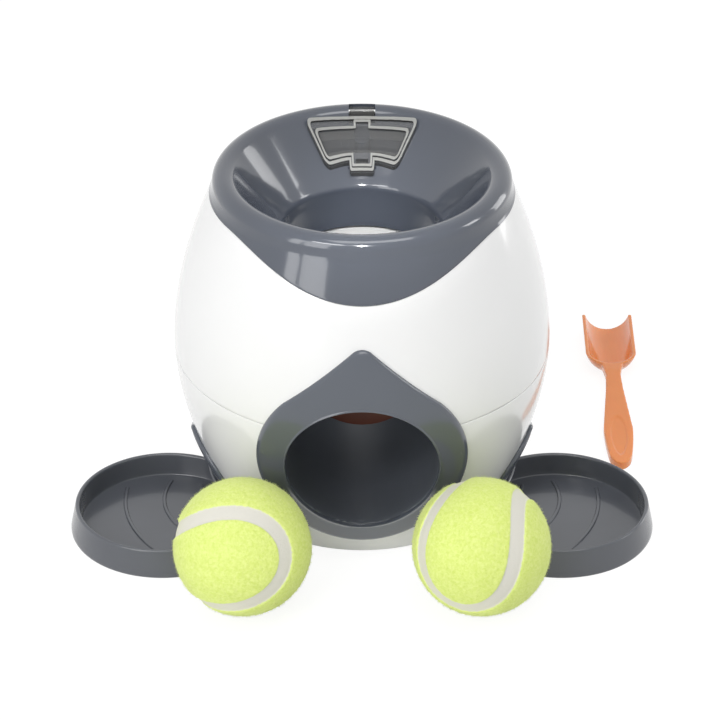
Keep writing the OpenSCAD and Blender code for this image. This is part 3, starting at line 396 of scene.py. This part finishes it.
skirt_low = 144.7
skirt_top = 163.5
skirt_rows = [(barrel_r(z) + 0.3, z) for z in stacked(skirt_low + 0.35, skirt_top, 1.2)]
r0 = barrel_r(skirt_low) + 0.3
bowl_outer = (
    [(r0 - 0.9, skirt_low), (r0 - 0.3, skirt_low), (r0 - 0.1, skirt_low + 0.1)]
    + skirt_rows
    + [(71.45, 165.2), (71.12, 166.5)]
    + bend(rim_r, rim_z, rim_t, 4, cone_angle, 26)
)
slope = bowl_outer[-1]
bowl_line = [
    (slope[0] + (cone_low[0] - slope[0]) * i / 12, slope[1] + (cone_low[1] - slope[1]) * i / 12)
    for i in range(1, 12)
]
throat = bend(throat_r + throat_round, throat_z, throat_round, cone_angle, 180, 8)
spout = [
    (throat_r + (spout_r - throat_r) * i / 6, throat_z + (spout_z - throat_z) * i / 6)
    for i in range(1, 7)
]
under = (
    [(spout_r + 1.4, spout_z)]
    + bend(throat_r + throat_round, throat_z, throat_round - funnel_wall, 180, cone_angle, 6)
    + bend(rim_r, rim_z, rim_t - funnel_wall, cone_angle, 10, 10)
    + [(barrel_r(z) + 0.3 - funnel_wall, z) for z in reversed(stacked(skirt_low, skirt_top, 2.4))]
)
funnel = turned("funnel_bowl", bowl_outer + bowl_line + throat + spout + under)
for point in funnel.data.vertices:
    x, y, z = point.co / mm
    r = math.hypot(x, y)
    if r > 66 and z < skirt_top:
        height = skirt_top + (z - skirt_top) * (skirt_top - apron_z(x, y)) / (skirt_top - skirt_low)
        r += barrel_r(height) - barrel_r(z)
        turn = math.atan2(y, x)
        point.co = Vector((r * math.cos(turn), r * math.sin(turn), height)) * mm

# The hatch's opening is cut in the bowl's rear, with a notch for the hinge in the rim and one for
# a finger below. Four walls lead down from it to the hopper, and a post stands in its middle.
lid_r_in = 44.4
lid_r_out = 57.9
lid_half_angle = 25.6
hatch_r_in = 48.4
hatch_r_out = 56.6
hatch_half_angle = 22.8
frame_z = 152.3
hinge_y = 64.5
hinge_z = 170.4
notch_half_w = 6.4
notch_low = 167.5


def sector(name, r0, r1, half, low, high, steps=24):
    """A piece of the bowl's rear between two radii, from low to high above its surface."""
    outline = [(r0, cone_z(r0, low)), (r1, cone_z(r1, low)), (r1, cone_z(r1, high)), (r0, cone_z(r0, high))]
    return turned(name, outline, steps=steps, start=90 - half, angle=2 * half)


def flared(piece):
    """Spreads the hatch a little towards the rim."""
    for point in piece.data.vertices:
        x, y, z = point.co / mm
        r = math.hypot(x, y)
        x *= 1 + 0.018 * (r - 51) * min(1, max(0, (abs(x) - 6.5) / 6))
        if z > cone_z(r, -3.2):
            z += (math.hypot(x, y) - r) * cone_rise
        point.co = Vector((x, y, z)) * mm
    return piece


def well(name, grow, low, top):
    """The shaft of the hatch, grown by the thickness of its walls."""
    r0, r1 = hatch_r_in - grow, hatch_r_out + grow
    outline = [(r0, low), (r1, low), (r1, cone_z(r1, top)), (r0, cone_z(r0, top))]
    half = hatch_half_angle + grow * 1.1
    return flared(turned(name, outline, steps=24, start=90 - half, angle=2 * half))


def block(low, high):
    """A square tool between two corners, in millimetres."""
    low, high = Vector(low) * mm, Vector(high) * mm
    bpy.ops.object.select_all(action="DESELECT")
    bpy.ops.mesh.primitive_cube_add(size=1, location=(low + high) / 2, scale=high - low)
    bpy.ops.object.transform_apply(scale=True)
    return bpy.context.object


cut(funnel, well("hatch_walls", 1.8, frame_z, -0.4), "UNION")
cut(funnel, well("hatch_shaft", 0, frame_z - 1, 3))
post_y = 54
post_half_w = 3.4
post_top = cone_z(post_y, -2)
cut(funnel, block((-post_half_w, post_y, frame_z), (post_half_w, 59.4, post_top)), "UNION")
cut(funnel, rod(post_half_w, ((0, post_y, frame_z), (0, post_y, post_top))), "UNION")
cut(funnel, block((-notch_half_w, 57, notch_low), (notch_half_w, hinge_y + 3.4, 190)))
cut(funnel, sector("finger_notch", 40.2, 44.3, 9, -0.9, 4))
finished(funnel, "base", "slate", slate, "funnel_top", angle=28)

# ---- Treat hatch ----
# A lid of clear plastic with a raised outline closes the hatch in the bowl. A rib below it drops into
# the shaft, and its knuckle turns on a steel pin that is pressed into the rim.
lid_low = 0.25
lid_high = 1.35
line_rise = 0.6
tab_r = 41.1


def rounded_edges(piece, width, segments=2, angle=40):
    """Rounds the piece's sharp edges."""
    bpy.ops.object.select_all(action="DESELECT")
    bpy.context.view_layer.objects.active = piece
    piece.select_set(True)
    modifier = piece.modifiers.new("round", "BEVEL")
    modifier.width = width * mm
    modifier.segments = segments
    modifier.limit_method = "ANGLE"
    modifier.angle_limit = math.radians(angle)
    modifier.harden_normals = False
    bpy.ops.object.modifier_apply(modifier="round")


def clear_plastic(name, tint, roughness, cover):
    """Clear plastic with faint flow marks. Its cover is the share of light that it holds back."""
    material = plastic(name, tint, roughness, fleck=0.03, grain=0.004, grain_size=5)
    material.node_tree.nodes["Principled BSDF"].inputs["Alpha"].default_value = cover
    return material


def plate(name, r0, r1, half, low, high, corner):
    """A sector of the bowl's rear with round corners."""
    piece = sector(name, r0, r1, half, low, high, steps=max(2, round(half / 1.85)))
    bpy.ops.object.mode_set(mode="EDIT")
    bpy.ops.mesh.select_mode(type="EDGE")
    bpy.ops.mesh.select_all(action="DESELECT")
    bpy.ops.object.mode_set(mode="OBJECT")
    for edge in piece.data.edges:
        ends = [piece.data.vertices[v].co / mm for v in edge.vertices]
        turns = [math.degrees(math.atan2(abs(e.x), e.y)) for e in ends]
        radii = [math.hypot(e.x, e.y) for e in ends]
        edge.select = min(turns) > half - 0.1 and abs(radii[0] - radii[1]) < 0.1
    bpy.ops.object.mode_set(mode="EDIT")
    bpy.ops.mesh.bevel(offset=corner * mm, segments=6)
    bpy.ops.mesh.select_mode(type="VERT")
    bpy.ops.object.mode_set(mode="OBJECT")
    return flared(piece)


lid = plate("hatch_lid_clear", lid_r_in, lid_r_out, lid_half_angle, lid_low, lid_high, 2.7)
cut(lid, plate("tab", tab_r, lid_r_in + 1.6, 8, lid_low, lid_high, 0.9), "UNION")


def raised_line(outline, field):
    """Adds a raised line between two groups of plates, whose radii, half angles and corners are given."""
    made = []
    for grow, group in ((0, outline), (1, field)):
        whole = None
        for k, (r0, r1, half, corner) in enumerate(group):
            spare = grow + 0.013 * k
            low, high = lid_high - 0.1 - spare, lid_high + line_rise + spare
            part = plate("part", r0, r1, half, low, high, corner)
            if whole:
                cut(whole, part, "UNION")
            whole = whole or part
        made.append(whole)
    cut(made[0], made[1])
    cut(lid, made[0], "UNION")


raised_line(
    ((lid_r_in + 0.1, lid_r_out - 0.1, lid_half_angle - 0.12, 2.6), (tab_r + 0.1, 50, 7.85, 0.8)),
    ((lid_r_in + 1, lid_r_out - 1, lid_half_angle - 1.1, 2), (tab_r + 1, 49, 6.7, 0.4)),
)
raised_line(
    ((45.9, 54.9, 23.7, 2), (53, 56.8, 4.2, 0.5), (tab_r + 1.4, 47, 6.3, 0.4)),
    ((46.7, 54.1, 22.7, 1.4), (52, 56, 3.2, 0.3), (tab_r + 2.2, 48, 5.2, 0.3)),
)
rib_r_in, rib_r_out = hatch_r_in + 0.5, hatch_r_out - 0.5
rib_wall = 1.2
rib = flared(sector("rib", rib_r_in, rib_r_out, hatch_half_angle - 0.6, -2.6, lid_low + 0.1))
inside = sector("inside", rib_r_in + rib_wall, rib_r_out - rib_wall, hatch_half_angle - 2.2, -4, lid_low)
cut(rib, flared(inside))
cut(rib, block((-3.8, 50, 150), (3.8, 62, cone_z(60, -0.4))))
cut(lid, rib, "UNION")
cut(lid, sector("tab_slot", 44.5, 45.3, 3.9, 0, 4, steps=8))
cut(lid, rod(2.4, ((-6, hinge_y, hinge_z), (6, hinge_y, hinge_z)), 48), "UNION")
web_r = 57
web = [(web_r, cone_z(web_r, 0.5)), (hinge_y, hinge_z - 0.6), (hinge_y, hinge_z + 2.38)]
web.append((web_r, cone_z(web_r, 1.3)))
cut(lid, slab("web", web, -6, 6), "UNION")
cut(lid, rod(1.25, ((-9, hinge_y, hinge_z), (9, hinge_y, hinge_z)), 48))
rounded_edges(lid, 0.22)
lid_clear = clear_plastic("clear_lid_plastic", (0.26, 0.26, 0.255), 0.05, 0.2)
finished(lid, "hatch", "clear_lid", lid_clear, "hatch_lid", angle=30)
# The lid's two other finishes are painted light. The light, less clear one stands for highlights on the
# raised lines' tops. The dark, less clear one stands for the dark surroundings that the sides refract.
lid.data.materials.append(clear_plastic("clear_lid_line_painted_highlight", (0.78, 0.78, 0.74), 0.05, 0.44))
lid.data.materials.append(clear_plastic("clear_lid_edge_painted_dark", (0.04, 0.04, 0.038), 0.05, 0.6))
# Painted highlight and painted dark refraction: the raised lines' tops get the light finish, and faces that
# stand up from the lid, such as the lines' sides, get the dark one.
outwards = Vector((cone_rise, -1)).normalized()
for face in lid.data.polygons:
    x, y, z = face.center / mm
    r = math.hypot(x, y)
    above = (z - cone_z(r)) / math.hypot(1, cone_rise)
    upright = abs(face.normal.dot(Vector((x / r * outwards[0], y / r * outwards[0], outwards[1]))))
    if upright < 0.95 and above > -0.1:
        face.material_index = 2
    elif above > lid_high + line_rise / 2:
        face.material_index = 1

# ---- Outlet bezels ----
# Three grey plates of the funnel's plastic lie on the barrel round its outlets. Each is moulded to the
# barrel's curve, with a bevelled edge and a pointed top, and screws or the trays' tongues hold it.
bezel_proud = 2.1
bezel_bed = 0.06
# Painted light: the bezels are the funnel's plastic with a rougher finish. Their colour is painted lighter
# than the funnel's to stand in for the light that they catch.
bezel_slate_painted_lighter = plastic("satin_slate_painted_lighter", (0.093, 0.104, 0.127), 0.18, 0.03, 0.004, 1.6, coat=0.35)


def lofted(name, across, along, place):
    """A sheet of faces, whose points place(i, j) puts, in millimetres. It closes where its edges meet."""
    bpy.ops.object.select_all(action="DESELECT")
    bpy.ops.mesh.primitive_grid_add(x_subdivisions=across, y_subdivisions=along, size=2)
    piece = bpy.context.object
    piece.name = name
    for point in piece.data.vertices:
        i = round((point.co.x + 1) / 2 * across)
        j = round((point.co.y + 1) / 2 * along)
        point.co = Vector(place(i, j)) * mm
    bpy.ops.object.mode_set(mode="EDIT")
    bpy.ops.mesh.select_all(action="SELECT")
    bpy.ops.mesh.remove_doubles(threshold=0.001 * mm)
    bpy.ops.mesh.normals_make_consistent(inside=False)
    bpy.ops.object.mode_set(mode="OBJECT")
    return piece


def ray_to(outline, centre, angle):
    """Distance from the centre to an outline of (across, height) points, at an angle."""
    dx, dz = math.cos(angle), math.sin(angle)
    found = 0
    for (x0, z0), (x1, z1) in zip(outline, outline[1:] + outline[:1]):
        x0, z0, ex, ez = x0 - centre[0], z0 - centre[1], x1 - x0, z1 - z0
        turn = dx * ez - dz * ex
        if abs(turn) < 1e-9:
            continue
        share = (x0 * dz - z0 * dx) / turn
        if -1e-6 <= share <= 1 + 1e-6:
            found = max(found, (x0 * ez - z0 * ex) / turn)
    return found


def bezel(name, outline, hole, centre, facing):
    """A plate on the barrel between its outline and its hole, seen from "facing" degrees off the front."""
    columns = 288
    turns = [math.tau * i / columns + 0.45 * math.cos(math.tau * i / columns) for i in range(columns)]
    holes = [ray_to(hole, centre, a) for a in turns]
    edges = [ray_to(outline, centre, a) for a in turns]
    face = 10
    # share of the way from the hole to the edge, distance beyond that, and height above the barrel
    lip = [(0, 0, bezel_bed), (0, 0, 1.9), (0, 0.12, 2.25), (0, 0.45, 2.4), (0, 0.8, 2.3)]
    bevel = [(1, -1.15, 2.06), (1, -0.4, 1.5), (1, -0.12, 1.15), (1, 0, 0.8), (1, 0, bezel_bed)]
    rows = (
        lip
        + [(k / face, 1.1 - 2.6 * k / face, bezel_proud) for k in range(face + 1)]
        + bevel
        + [(k / 6, 0, bezel_bed) for k in range(5, -1, -1)]
    )
    out = math.radians(facing)

    def place(i, j):
        share, beyond, proud = rows[j]
        i %= columns
        distance = holes[i] + (edges[i] - holes[i]) * share + beyond
        u = centre[0] + distance * math.cos(turns[i])
        z = centre[1] + distance * math.sin(turns[i])
        depth = math.sqrt((barrel_r(z) + proud) ** 2 - u**2)
        return (
            u * math.cos(out) + depth * math.sin(out),
            u * math.sin(out) - depth * math.cos(out),
            z,
        )

    return lofted(name, columns, len(rows) - 1, place)


def pointed(z, r, tip_z, tip_r, flank, low=None):
    """A round outline that is drawn up to a small round tip, and cut off flat at its low end."""
    start = 450 - flank - 360 if low is None else math.degrees(math.asin((low - z) / r))
    right = bend(0, z, r, start, 90 - flank, 60) if low is not None else []
    tip = bend(0, tip_z, tip_r, 90 - flank, 90 + flank, 16)
    left_end = 450 - flank if low is None else 180 - start
    return right + tip + bend(0, z, r, 90 + flank, left_end, 140 if low is None else 60)


front_bezel = bezel(
    "bezel_front",
    pointed(61, 49.8, 118.2, 6.8, 47),
    bend(0, outlet_z, outlet_r, 0, 360, 288),
    (0, outlet_z),
    0,
)
boss_circle_r = 44.1
for angle in (-40, 8, 172, 220):
    x = boss_circle_r * math.cos(math.radians(angle))
    z = outlet_z + boss_circle_r * math.sin(math.radians(angle))
    y = -math.sqrt(barrel_r(z) ** 2 - x**2)
    cut(front_bezel, rod(3, ((x, y - 0.8, z), (x, y + 8.5, z)), 32), "UNION")
finished(front_bezel, "base", "slate", bezel_slate_painted_lighter, "front_bezel", angle=24)

for side, name in ((1, "right"), (-1, "left")):
    side_bezel = bezel(
        f"bezel_{name}",
        pointed(13.5, 26, 37.5, 4, 26, low=2),
        [(-window_r, window_low), (window_r, window_low)] + bend(0, window_z, window_r, 0, 180, 72),
        (0, window_z),
        side * side_angle,
    )
    finished(side_bezel, "base", "slate", bezel_slate_painted_lighter, f"{name}_outlet_bezel", angle=24)

# ---- Treat trays ----
# Two dishes of satin dark grey plastic stand at the sides. Each is moulded with a round rim that also
# runs along the barrel, three low ribs in its floor, and a tongue that slides into a slot below the
# side outlet.
tray_x, tray_y = 95, -42
tray_gap = bezel_proud + 0.4
tray_middle = (100, -44)
tray_grey = plastic("satin_tray_grey", (0.09, 0.096, 0.112), 0.24, 0.05, 0.008, 0.9, coat=0.35)


def tray_point(share, rim, body):
    """A point of the dish's outline: its first third runs along the barrel, the rest round the rim."""
    apart = math.hypot(tray_x, tray_y)
    middle = math.atan2(tray_y, tray_x)
    along = (apart**2 + body**2 - rim**2) / (2 * apart)
    off = math.sqrt(body**2 - along**2)
    half_body = math.atan2(off, along)
    half_rim = math.pi - math.atan2(off, apart - along)
    if share <= 1 / 3:
        turn = middle + half_body * (6 * share - 1)
        return body * math.cos(turn), body * math.sin(turn)
    turn = middle + half_rim * (1 - 2 * (share - 1 / 3) * 1.5)
    return tray_x + rim * math.cos(turn), tray_y + rim * math.sin(turn)


dish_r = 46
rim_middle_z = 12.9


def outer_rim(z):
    """Radius of the dish's outside."""
    return dish_r if z < 1.5 else dish_r - 2.4 * (z - 1.5) / 11.9


# radius of the dish, distance of its barrel side from the axis, height, and share of the floor
tray_rows = [(dish_r - 2, barrel_r(0) + tray_gap + 2, 0, k / 4) for k in range(4)]
for inset, z in ((0.6, 0), (0.2, 0.15), (0, 0.55)):
    tray_rows.append((dish_r - inset, barrel_r(z) + tray_gap + inset, z, 1))
tray_rows += [(outer_rim(z), barrel_r(z) + tray_gap, z, 1) for z in (1.5, 4, 6.5, 9, 11.5)]
rim_round = 1.1
for k in range(11):
    turn = math.pi * k / 10
    z = rim_middle_z + rim_round * math.sin(turn)
    inset = rim_round - rim_round * math.cos(turn)
    tray_rows.append((outer_rim(rim_middle_z) - inset, barrel_r(rim_middle_z) + tray_gap + inset, z, 1))
for inset, z in ((2.25, 11), (2.3, 8), (2.4, 5), (2.5, 3.1), (2.6, 2.72), (2.84, 2.48), (3.3, 2.4)):
    tray_rows.append((outer_rim(rim_middle_z) - inset, barrel_r(z) + tray_gap + inset, z, 1))
floor_row = tray_rows[-1]
tray_rows += [(*floor_row[:3], 1 - k / 5) for k in range(1, 6)]
tray_columns = 288


def tray_place(i, j):
    """Where a point of the tray lies."""
    rim, body, z, share = tray_rows[j]
    x, y = tray_point(i % tray_columns / tray_columns, rim, body)
    return tray_middle[0] + (x - tray_middle[0]) * share, tray_middle[1] + (y - tray_middle[1]) * share, z


right_tray = lofted("tray_right", tray_columns, len(tray_rows) - 1, tray_place)
rib_reach = 35.2
for x, y, r in ((0, 0, 80), (54.8, -22, 42), (45.8, -22, 70)):
    apart = math.hypot(tray_x - x, tray_y - y)
    half = math.degrees(math.acos((r**2 + apart**2 - rib_reach**2) / (2 * r * apart)))
    outline = [(r - 0.9, 2), (r + 0.9, 2), (r + 0.9, 2.7), (r + 0.6, 3.05)]
    outline += [(r, 3.2), (r - 0.6, 3.05), (r - 0.9, 2.7)]
    start = math.degrees(math.atan2(tray_y - y, tray_x - x)) - half
    cut(right_tray, turned("rib", outline, steps=64, centre=(x, y), start=start, angle=2 * half), "UNION")
tongue = block((60.5, -9, 6.8), (barrel_r(8) + tray_gap + 0.9, 9, 9))
tongue.rotation_euler.z = math.atan2(tray_y, tray_x)
cut(right_tray, tongue, "UNION")


def mirrored(piece, name):
    """A copy of the piece with its own mesh, for the object's other side."""
    copy = bpy.data.objects.new(name, piece.data.copy())
    scene.collection.objects.link(copy)
    bpy.ops.object.select_all(action="DESELECT")
    bpy.context.view_layer.objects.active = copy
    copy.select_set(True)
    copy.scale.x = -1
    bpy.ops.object.transform_apply(scale=True)
    bpy.ops.object.mode_set(mode="EDIT")
    bpy.ops.mesh.select_all(action="SELECT")
    bpy.ops.mesh.normals_make_consistent(inside=False)
    bpy.ops.object.mode_set(mode="OBJECT")
    return copy


left_tray = mirrored(right_tray, "tray_left")
finished(right_tray, "right_tray", "tray_grey", tray_grey, "right_tray", angle=34)
finished(left_tray, "left_tray", "tray_grey", tray_grey, "left_tray", angle=34)

# ---- Outlet chute, flap and drop tube ----
# A dark bent chute screwed to the base leads from the white drop tube to the front outlet. The orange
# flap hangs in it from a steel shaft, and a ball that rolls out pushes it forwards.
chute_grey = plastic("satin_chute_grey", (0.094, 0.104, 0.124), 0.42, 0.06, 0.015, 0.6)
tube_white = plastic("satin_tube_white", (0.8, 0.8, 0.79), 0.3, 0.01, 0.01, 0.8)
flap_orange = plastic("satin_flap_orange", (0.1, 0.022, 0.009), 0.32, 0.06, 0.012, 0.7)


def carried(name, node, body, slot, material, edge=0.0, angle=30):
    """A piece made from a copy of a plain solid, merged and with its edges rounded."""
    piece = bpy.data.objects.new(name, frame["nodes"][node].data.copy())
    scene.collection.objects.link(piece)
    bpy.ops.object.select_all(action="DESELECT")
    bpy.context.view_layer.objects.active = piece
    piece.select_set(True)
    bpy.ops.object.mode_set(mode="EDIT")
    bpy.ops.mesh.select_all(action="SELECT")
    bpy.ops.mesh.remove_doubles(threshold=0.0005 * mm)
    if edge:
        bpy.ops.mesh.dissolve_limited(angle_limit=math.radians(0.5))
    bpy.ops.object.mode_set(mode="OBJECT")
    if edge:
        rounded_edges(piece, edge)
    finished(piece, body, slot, material, node, angle=angle)
    return piece


chute = carried("chute_bend", "outlet_chute", "base", "inner_grey", chute_grey)
bpy.ops.object.select_all(action="DESELECT")
bpy.context.view_layer.objects.active = chute
chute.select_set(True)
skin = chute.modifiers.new("skin", "REMESH")
skin.mode = "VOXEL"
skin.voxel_size = 0.95 * mm
bpy.ops.object.modifier_apply(modifier="skin")
relax = chute.modifiers.new("relax", "SMOOTH")
relax.factor = 0.5
relax.iterations = 12
bpy.ops.object.modifier_apply(modifier="relax")
smooth(chute, 60)
carried("drop_tube_sleeve", "drop_tube", "base", "tube_white", tube_white)
carried("flap_paddle", "trigger_flap", "trigger", "flap_orange", flap_orange, edge=0.35)

# ---- Treat hopper, drums and side chutes ----
# The hopper hangs below the hatch. Its two channels lead to metering drums on the flap's shaft, and
# the side chutes carry the treats on to the windows above the trays. All are screwed dark mouldings.
drum_grey = plastic("drum_plastic_grey", (0.2, 0.21, 0.22), 0.35, 0.05, 0.012, 0.7)
hopper_grey = plastic("satin_hopper_grey", (0.12, 0.12, 0.12), 0.45, 0.05, 0.012, 0.7)
carried("hopper_box", "treat_hopper", "base", "inner_grey", hopper_grey)
for side in ("left", "right"):
    carried(f"side_chute_{side}", f"{side}_treat_chute", "base", "inner_grey", chute_grey)
    carried(f"drum_case_{side}", f"{side}_drum_housing", "base", "inner_grey", chute_grey)

# ---- Balls ----
# Two hollow rubber balls under yellow-green felt. The felt is two dumbbell-shaped strips, and a line
# of pale rubber cement fills the seam between them.
ball_r = 32.5
seam_a, seam_b = 0.73, 0.27
seam_half_w = 3.4
seam_points = 720
wool_end_count = 9000
balls = (
    ("left", (-55.7, -109, ball_r), (-50.5, -54.0, -139.6)),
    ("right", (55.7, -109, ball_r), (-23.7, -20.7, -60.6)),
)


def felt(name):
    """Napped wool felt, with a line of rubber where the attribute "seam" is low."""
    material = bpy.data.materials.new(name)
    material.use_nodes = True
    nodes, links = material.node_tree.nodes, material.node_tree.links
    shader = nodes["Principled BSDF"]
    shader.inputs["Roughness"].default_value = 0.92
    shader.inputs["Sheen Weight"].default_value = 0.55
    shader.inputs["Sheen Roughness"].default_value = 0.45
    shader.inputs["Sheen Tint"].default_value = (0.95, 1.0, 0.6, 1)
    place = nodes.new("ShaderNodeTexCoord")
    wool = nodes.new("ShaderNodeTexNoise")
    wool.inputs["Scale"].default_value = 700
    wool.inputs["Detail"].default_value = 6
    wool.inputs["Distortion"].default_value = 0.8
    links.new(place.outputs["Object"], wool.inputs["Vector"])
    shades = nodes.new("ShaderNodeValToRGB")
    shades.color_ramp.elements[0].position = 0.32
    shades.color_ramp.elements[0].color = (0.69, 0.82, 0.18, 1)
    shades.color_ramp.elements[1].position = 0.66
    shades.color_ramp.elements[1].color = (0.81, 0.91, 0.3, 1)
    links.new(wool.outputs["Fac"], shades.inputs["Fac"])
    seam = nodes.new("ShaderNodeAttribute")
    seam.attribute_name = "seam"
    fray = nodes.new("ShaderNodeMath")
    fray.operation = "MULTIPLY_ADD"
    fray.inputs[1].default_value = 1.1
    links.new(wool.outputs["Fac"], fray.inputs[0])
    links.new(seam.outputs["Fac"], fray.inputs[2])
    side = nodes.new("ShaderNodeMapRange")
    side.inputs["From Min"].default_value = seam_half_w + 0.8
    side.inputs["From Max"].default_value = seam_half_w + 1.3
    links.new(fray.outputs[0], side.inputs["Value"])
    blend = nodes.new("ShaderNodeMixRGB")
    blend.inputs["Color1"].default_value = (0.74, 0.72, 0.65, 1)
    links.new(side.outputs["Result"], blend.inputs["Fac"])
    links.new(shades.outputs["Color"], blend.inputs["Color2"])
    links.new(blend.outputs["Color"], shader.inputs["Base Color"])
    nap = nodes.new("ShaderNodeTexNoise")
    nap.inputs["Scale"].default_value = 1500
    nap.inputs["Detail"].default_value = 4
    links.new(place.outputs["Object"], nap.inputs["Vector"])
    relief = nodes.new("ShaderNodeBump")
    relief.inputs["Strength"].default_value = 0.5
    relief.inputs["Distance"].default_value = 0.35 * mm
    links.new(nap.outputs["Fac"], relief.inputs["Height"])
    links.new(relief.outputs["Normal"], shader.inputs["Normal"])
    return material


ball_felt = felt("ball_felt_wool")
chance = random.Random(7)
for side, centre, turn in balls:
    bpy.ops.object.select_all(action="DESELECT")
    bpy.ops.mesh.primitive_ico_sphere_add(subdivisions=7, radius=ball_r * mm)
    ball = bpy.context.object
    ball.name = f"ball_{side}"
    spun = Euler([math.radians(a) for a in turn], "XYZ")
    track = kdtree.KDTree(seam_points)
    for i in range(seam_points):
        t = math.tau * i / seam_points
        point = Vector((
            seam_a * math.cos(t) + seam_b * math.cos(3 * t),
            seam_a * math.sin(t) - seam_b * math.sin(3 * t),
            2 * math.sqrt(seam_a * seam_b) * math.sin(2 * t),
        )).normalized()
        point.rotate(spun)
        track.insert(point * ball_r, i)
    track.balance()
    distances = ball.data.attributes.new("seam", "FLOAT", "POINT")
    for i, point in enumerate(ball.data.vertices):
        out = point.co.normalized()
        away = track.find(out * ball_r)[2]
        distances.data[i].value = away
        lift = min(1, max(0, (away - seam_half_w) / 1.2))
        lift = lift * lift * (3 - 2 * lift)
        fuzz = noise.noise(out * 27) * 0.22 + noise.noise(out * 60 + Vector((7, 0, 0))) * 0.16
        r = ball_r - 0.2 - 0.75 * (1 - lift) + (0.25 + 0.75 * lift) * fuzz
        point.co = (out * r + Vector(centre)) * mm
    # Loose wool ends stand out of the felt, each a thin closed spike.
    ends = bpy.data.meshes.new("wool_ends")
    points, faces = [], []
    while len(points) < 4 * wool_end_count:
        out = Vector([chance.gauss(0, 1) for _ in range(3)]).normalized()
        lean = out.cross(Vector([chance.gauss(0, 1) for _ in range(3)])).normalized()
        tall, flat = chance.uniform(0.5, 1.5), chance.uniform(0.1, 1)
        away = track.find(out * ball_r)[2]
        if away < seam_half_w + 0.8 + flat:
            continue
        other = out.cross(lean)
        foot = Vector(centre) + out * (ball_r - 0.75)
        tip = foot + out * (0.4 + tall) + lean * flat
        if tip.z < 0.2:
            continue
        first = len(points)
        points += [(foot + (lean * math.cos(a) + other * math.sin(a)) * 0.09) * mm for a in (0, 2.1, 4.2)]
        points.append(tip * mm)
        faces += [(first, first + 2, first + 1)]
        faces += [(first + k, first + (k + 1) % 3, first + 3) for k in range(3)]
    ends.from_pydata(points, [], faces)
    far_from_seam = ends.attributes.new("seam", "FLOAT", "POINT")
    far_from_seam.data.foreach_set("value", [9.0] * len(points))
    wool = bpy.data.objects.new("wool_ends", ends)
    scene.collection.objects.link(wool)
    bpy.ops.object.select_all(action="DESELECT")
    wool.select_set(True)
    ball.select_set(True)
    bpy.context.view_layer.objects.active = ball
    bpy.ops.object.join()
    finished(ball, f"{side}_ball", "ball_felt", ball_felt, f"{side}_ball_felt", angle=180)

# ---- Scoop ----
# A treat scoop moulded in one piece of clear amber plastic: a round-bottomed bowl, and a handle that
# slopes down to a round end. It lies loose beside the right tray.
scoop = bpy.data.objects.new("scoop_amber", frame["nodes"]["treat_scoop"].data.copy())
scene.collection.objects.link(scoop)
bpy.ops.object.select_all(action="DESELECT")
bpy.context.view_layer.objects.active = scoop
scoop.select_set(True)
bpy.ops.object.mode_set(mode="EDIT")
bpy.ops.mesh.select_all(action="SELECT")
bpy.ops.mesh.remove_doubles(threshold=0.0005 * mm)
bpy.ops.object.mode_set(mode="OBJECT")
remesh = scoop.modifiers.new("skin", "REMESH")
remesh.mode = "VOXEL"
remesh.voxel_size = 0.45 * mm
bpy.ops.object.modifier_apply(modifier="skin")
relax = scoop.modifiers.new("relax", "SMOOTH")
relax.factor = 0.5
relax.iterations = 7
bpy.ops.object.modifier_apply(modifier="relax")
# The handle narrows to its end, and an oval field is sunk in its top.
scoop_x, scoop_tip_y = 129, 141.5
neck_end, handle_end = 55, 135
field_middle, field_half_length, field_half_width, field_depth = 112, 17, 4.4, 0.55
taper_start, taper = 104, 0.4
for point in scoop.data.vertices:
    x, y, z = point.co / mm
    along = scoop_tip_y - y
    if along > 90:
        off = ((along - field_middle) / field_half_length) ** 2 + ((x - scoop_x) / field_half_width) ** 2
        handle_top = 10.5 - 6 * (along - neck_end) / (handle_end - neck_end)
        if z > handle_top - 1.5:
            z -= field_depth * min(1, max(0, 1 - off) * 4)
        narrow = max(0, (along - taper_start) / (handle_end - taper_start))
        x = scoop_x + (x - scoop_x) * (1 - taper * narrow**2)
        point.co = Vector((x, y, z)) * mm
scoop_amber = plastic("amber_scoop_plastic", (0.86, 0.28, 0.07), 0.2, 0.05, 0.01, 1.2, coat=0.3)
amber = scoop_amber.node_tree.nodes["Principled BSDF"]
amber.inputs["Subsurface Weight"].default_value = 0.25
amber.inputs["Subsurface Radius"].default_value = (4 * mm, 1.6 * mm, 0.6 * mm)
amber.inputs["Subsurface Scale"].default_value = 1
finished(scoop, "scoop", "scoop_amber", scoop_amber, "treat_scoop", angle=180)

# ---- Base, fasteners and other inner parts ----
# The screwed base cover with its rubber feet, the screws, the shaft with its brass bushes and clips,
# the return spring and the balls' rubber cores keep their plain solids, each in its own finish.


def metal(name, colour, roughness):
    """Turned or drawn metal with fine marks."""
    material = plastic(name, colour, roughness, fleck=0.08, grain=0.004, grain_size=0.15)
    material.node_tree.nodes["Principled BSDF"].inputs["Metallic"].default_value = 1
    return material


finishes = {
    "inner_grey": chute_grey,
    "tube_white": tube_white,
    "steel": metal("bright_steel", (0.62, 0.62, 0.61), 0.28),
    "bush_brass": metal("turned_brass", (0.72, 0.52, 0.24), 0.3),
    "drum_plastic": drum_grey,
    "foot_rubber": plastic("black_foot_rubber", (0.018, 0.018, 0.019), 0.8, 0.1, 0.03, 0.5),
    "ball_rubber": plastic("ball_core_rubber", (0.05, 0.05, 0.052), 0.75, 0.1, 0.03, 0.5),
}
for part in frame["record"]["subparts"]:
    node = frame["nodes"][part["node"]]
    if not node.hide_render:
        node.data.materials.clear()
        node.data.materials.append(finishes[part["material_slot"]])
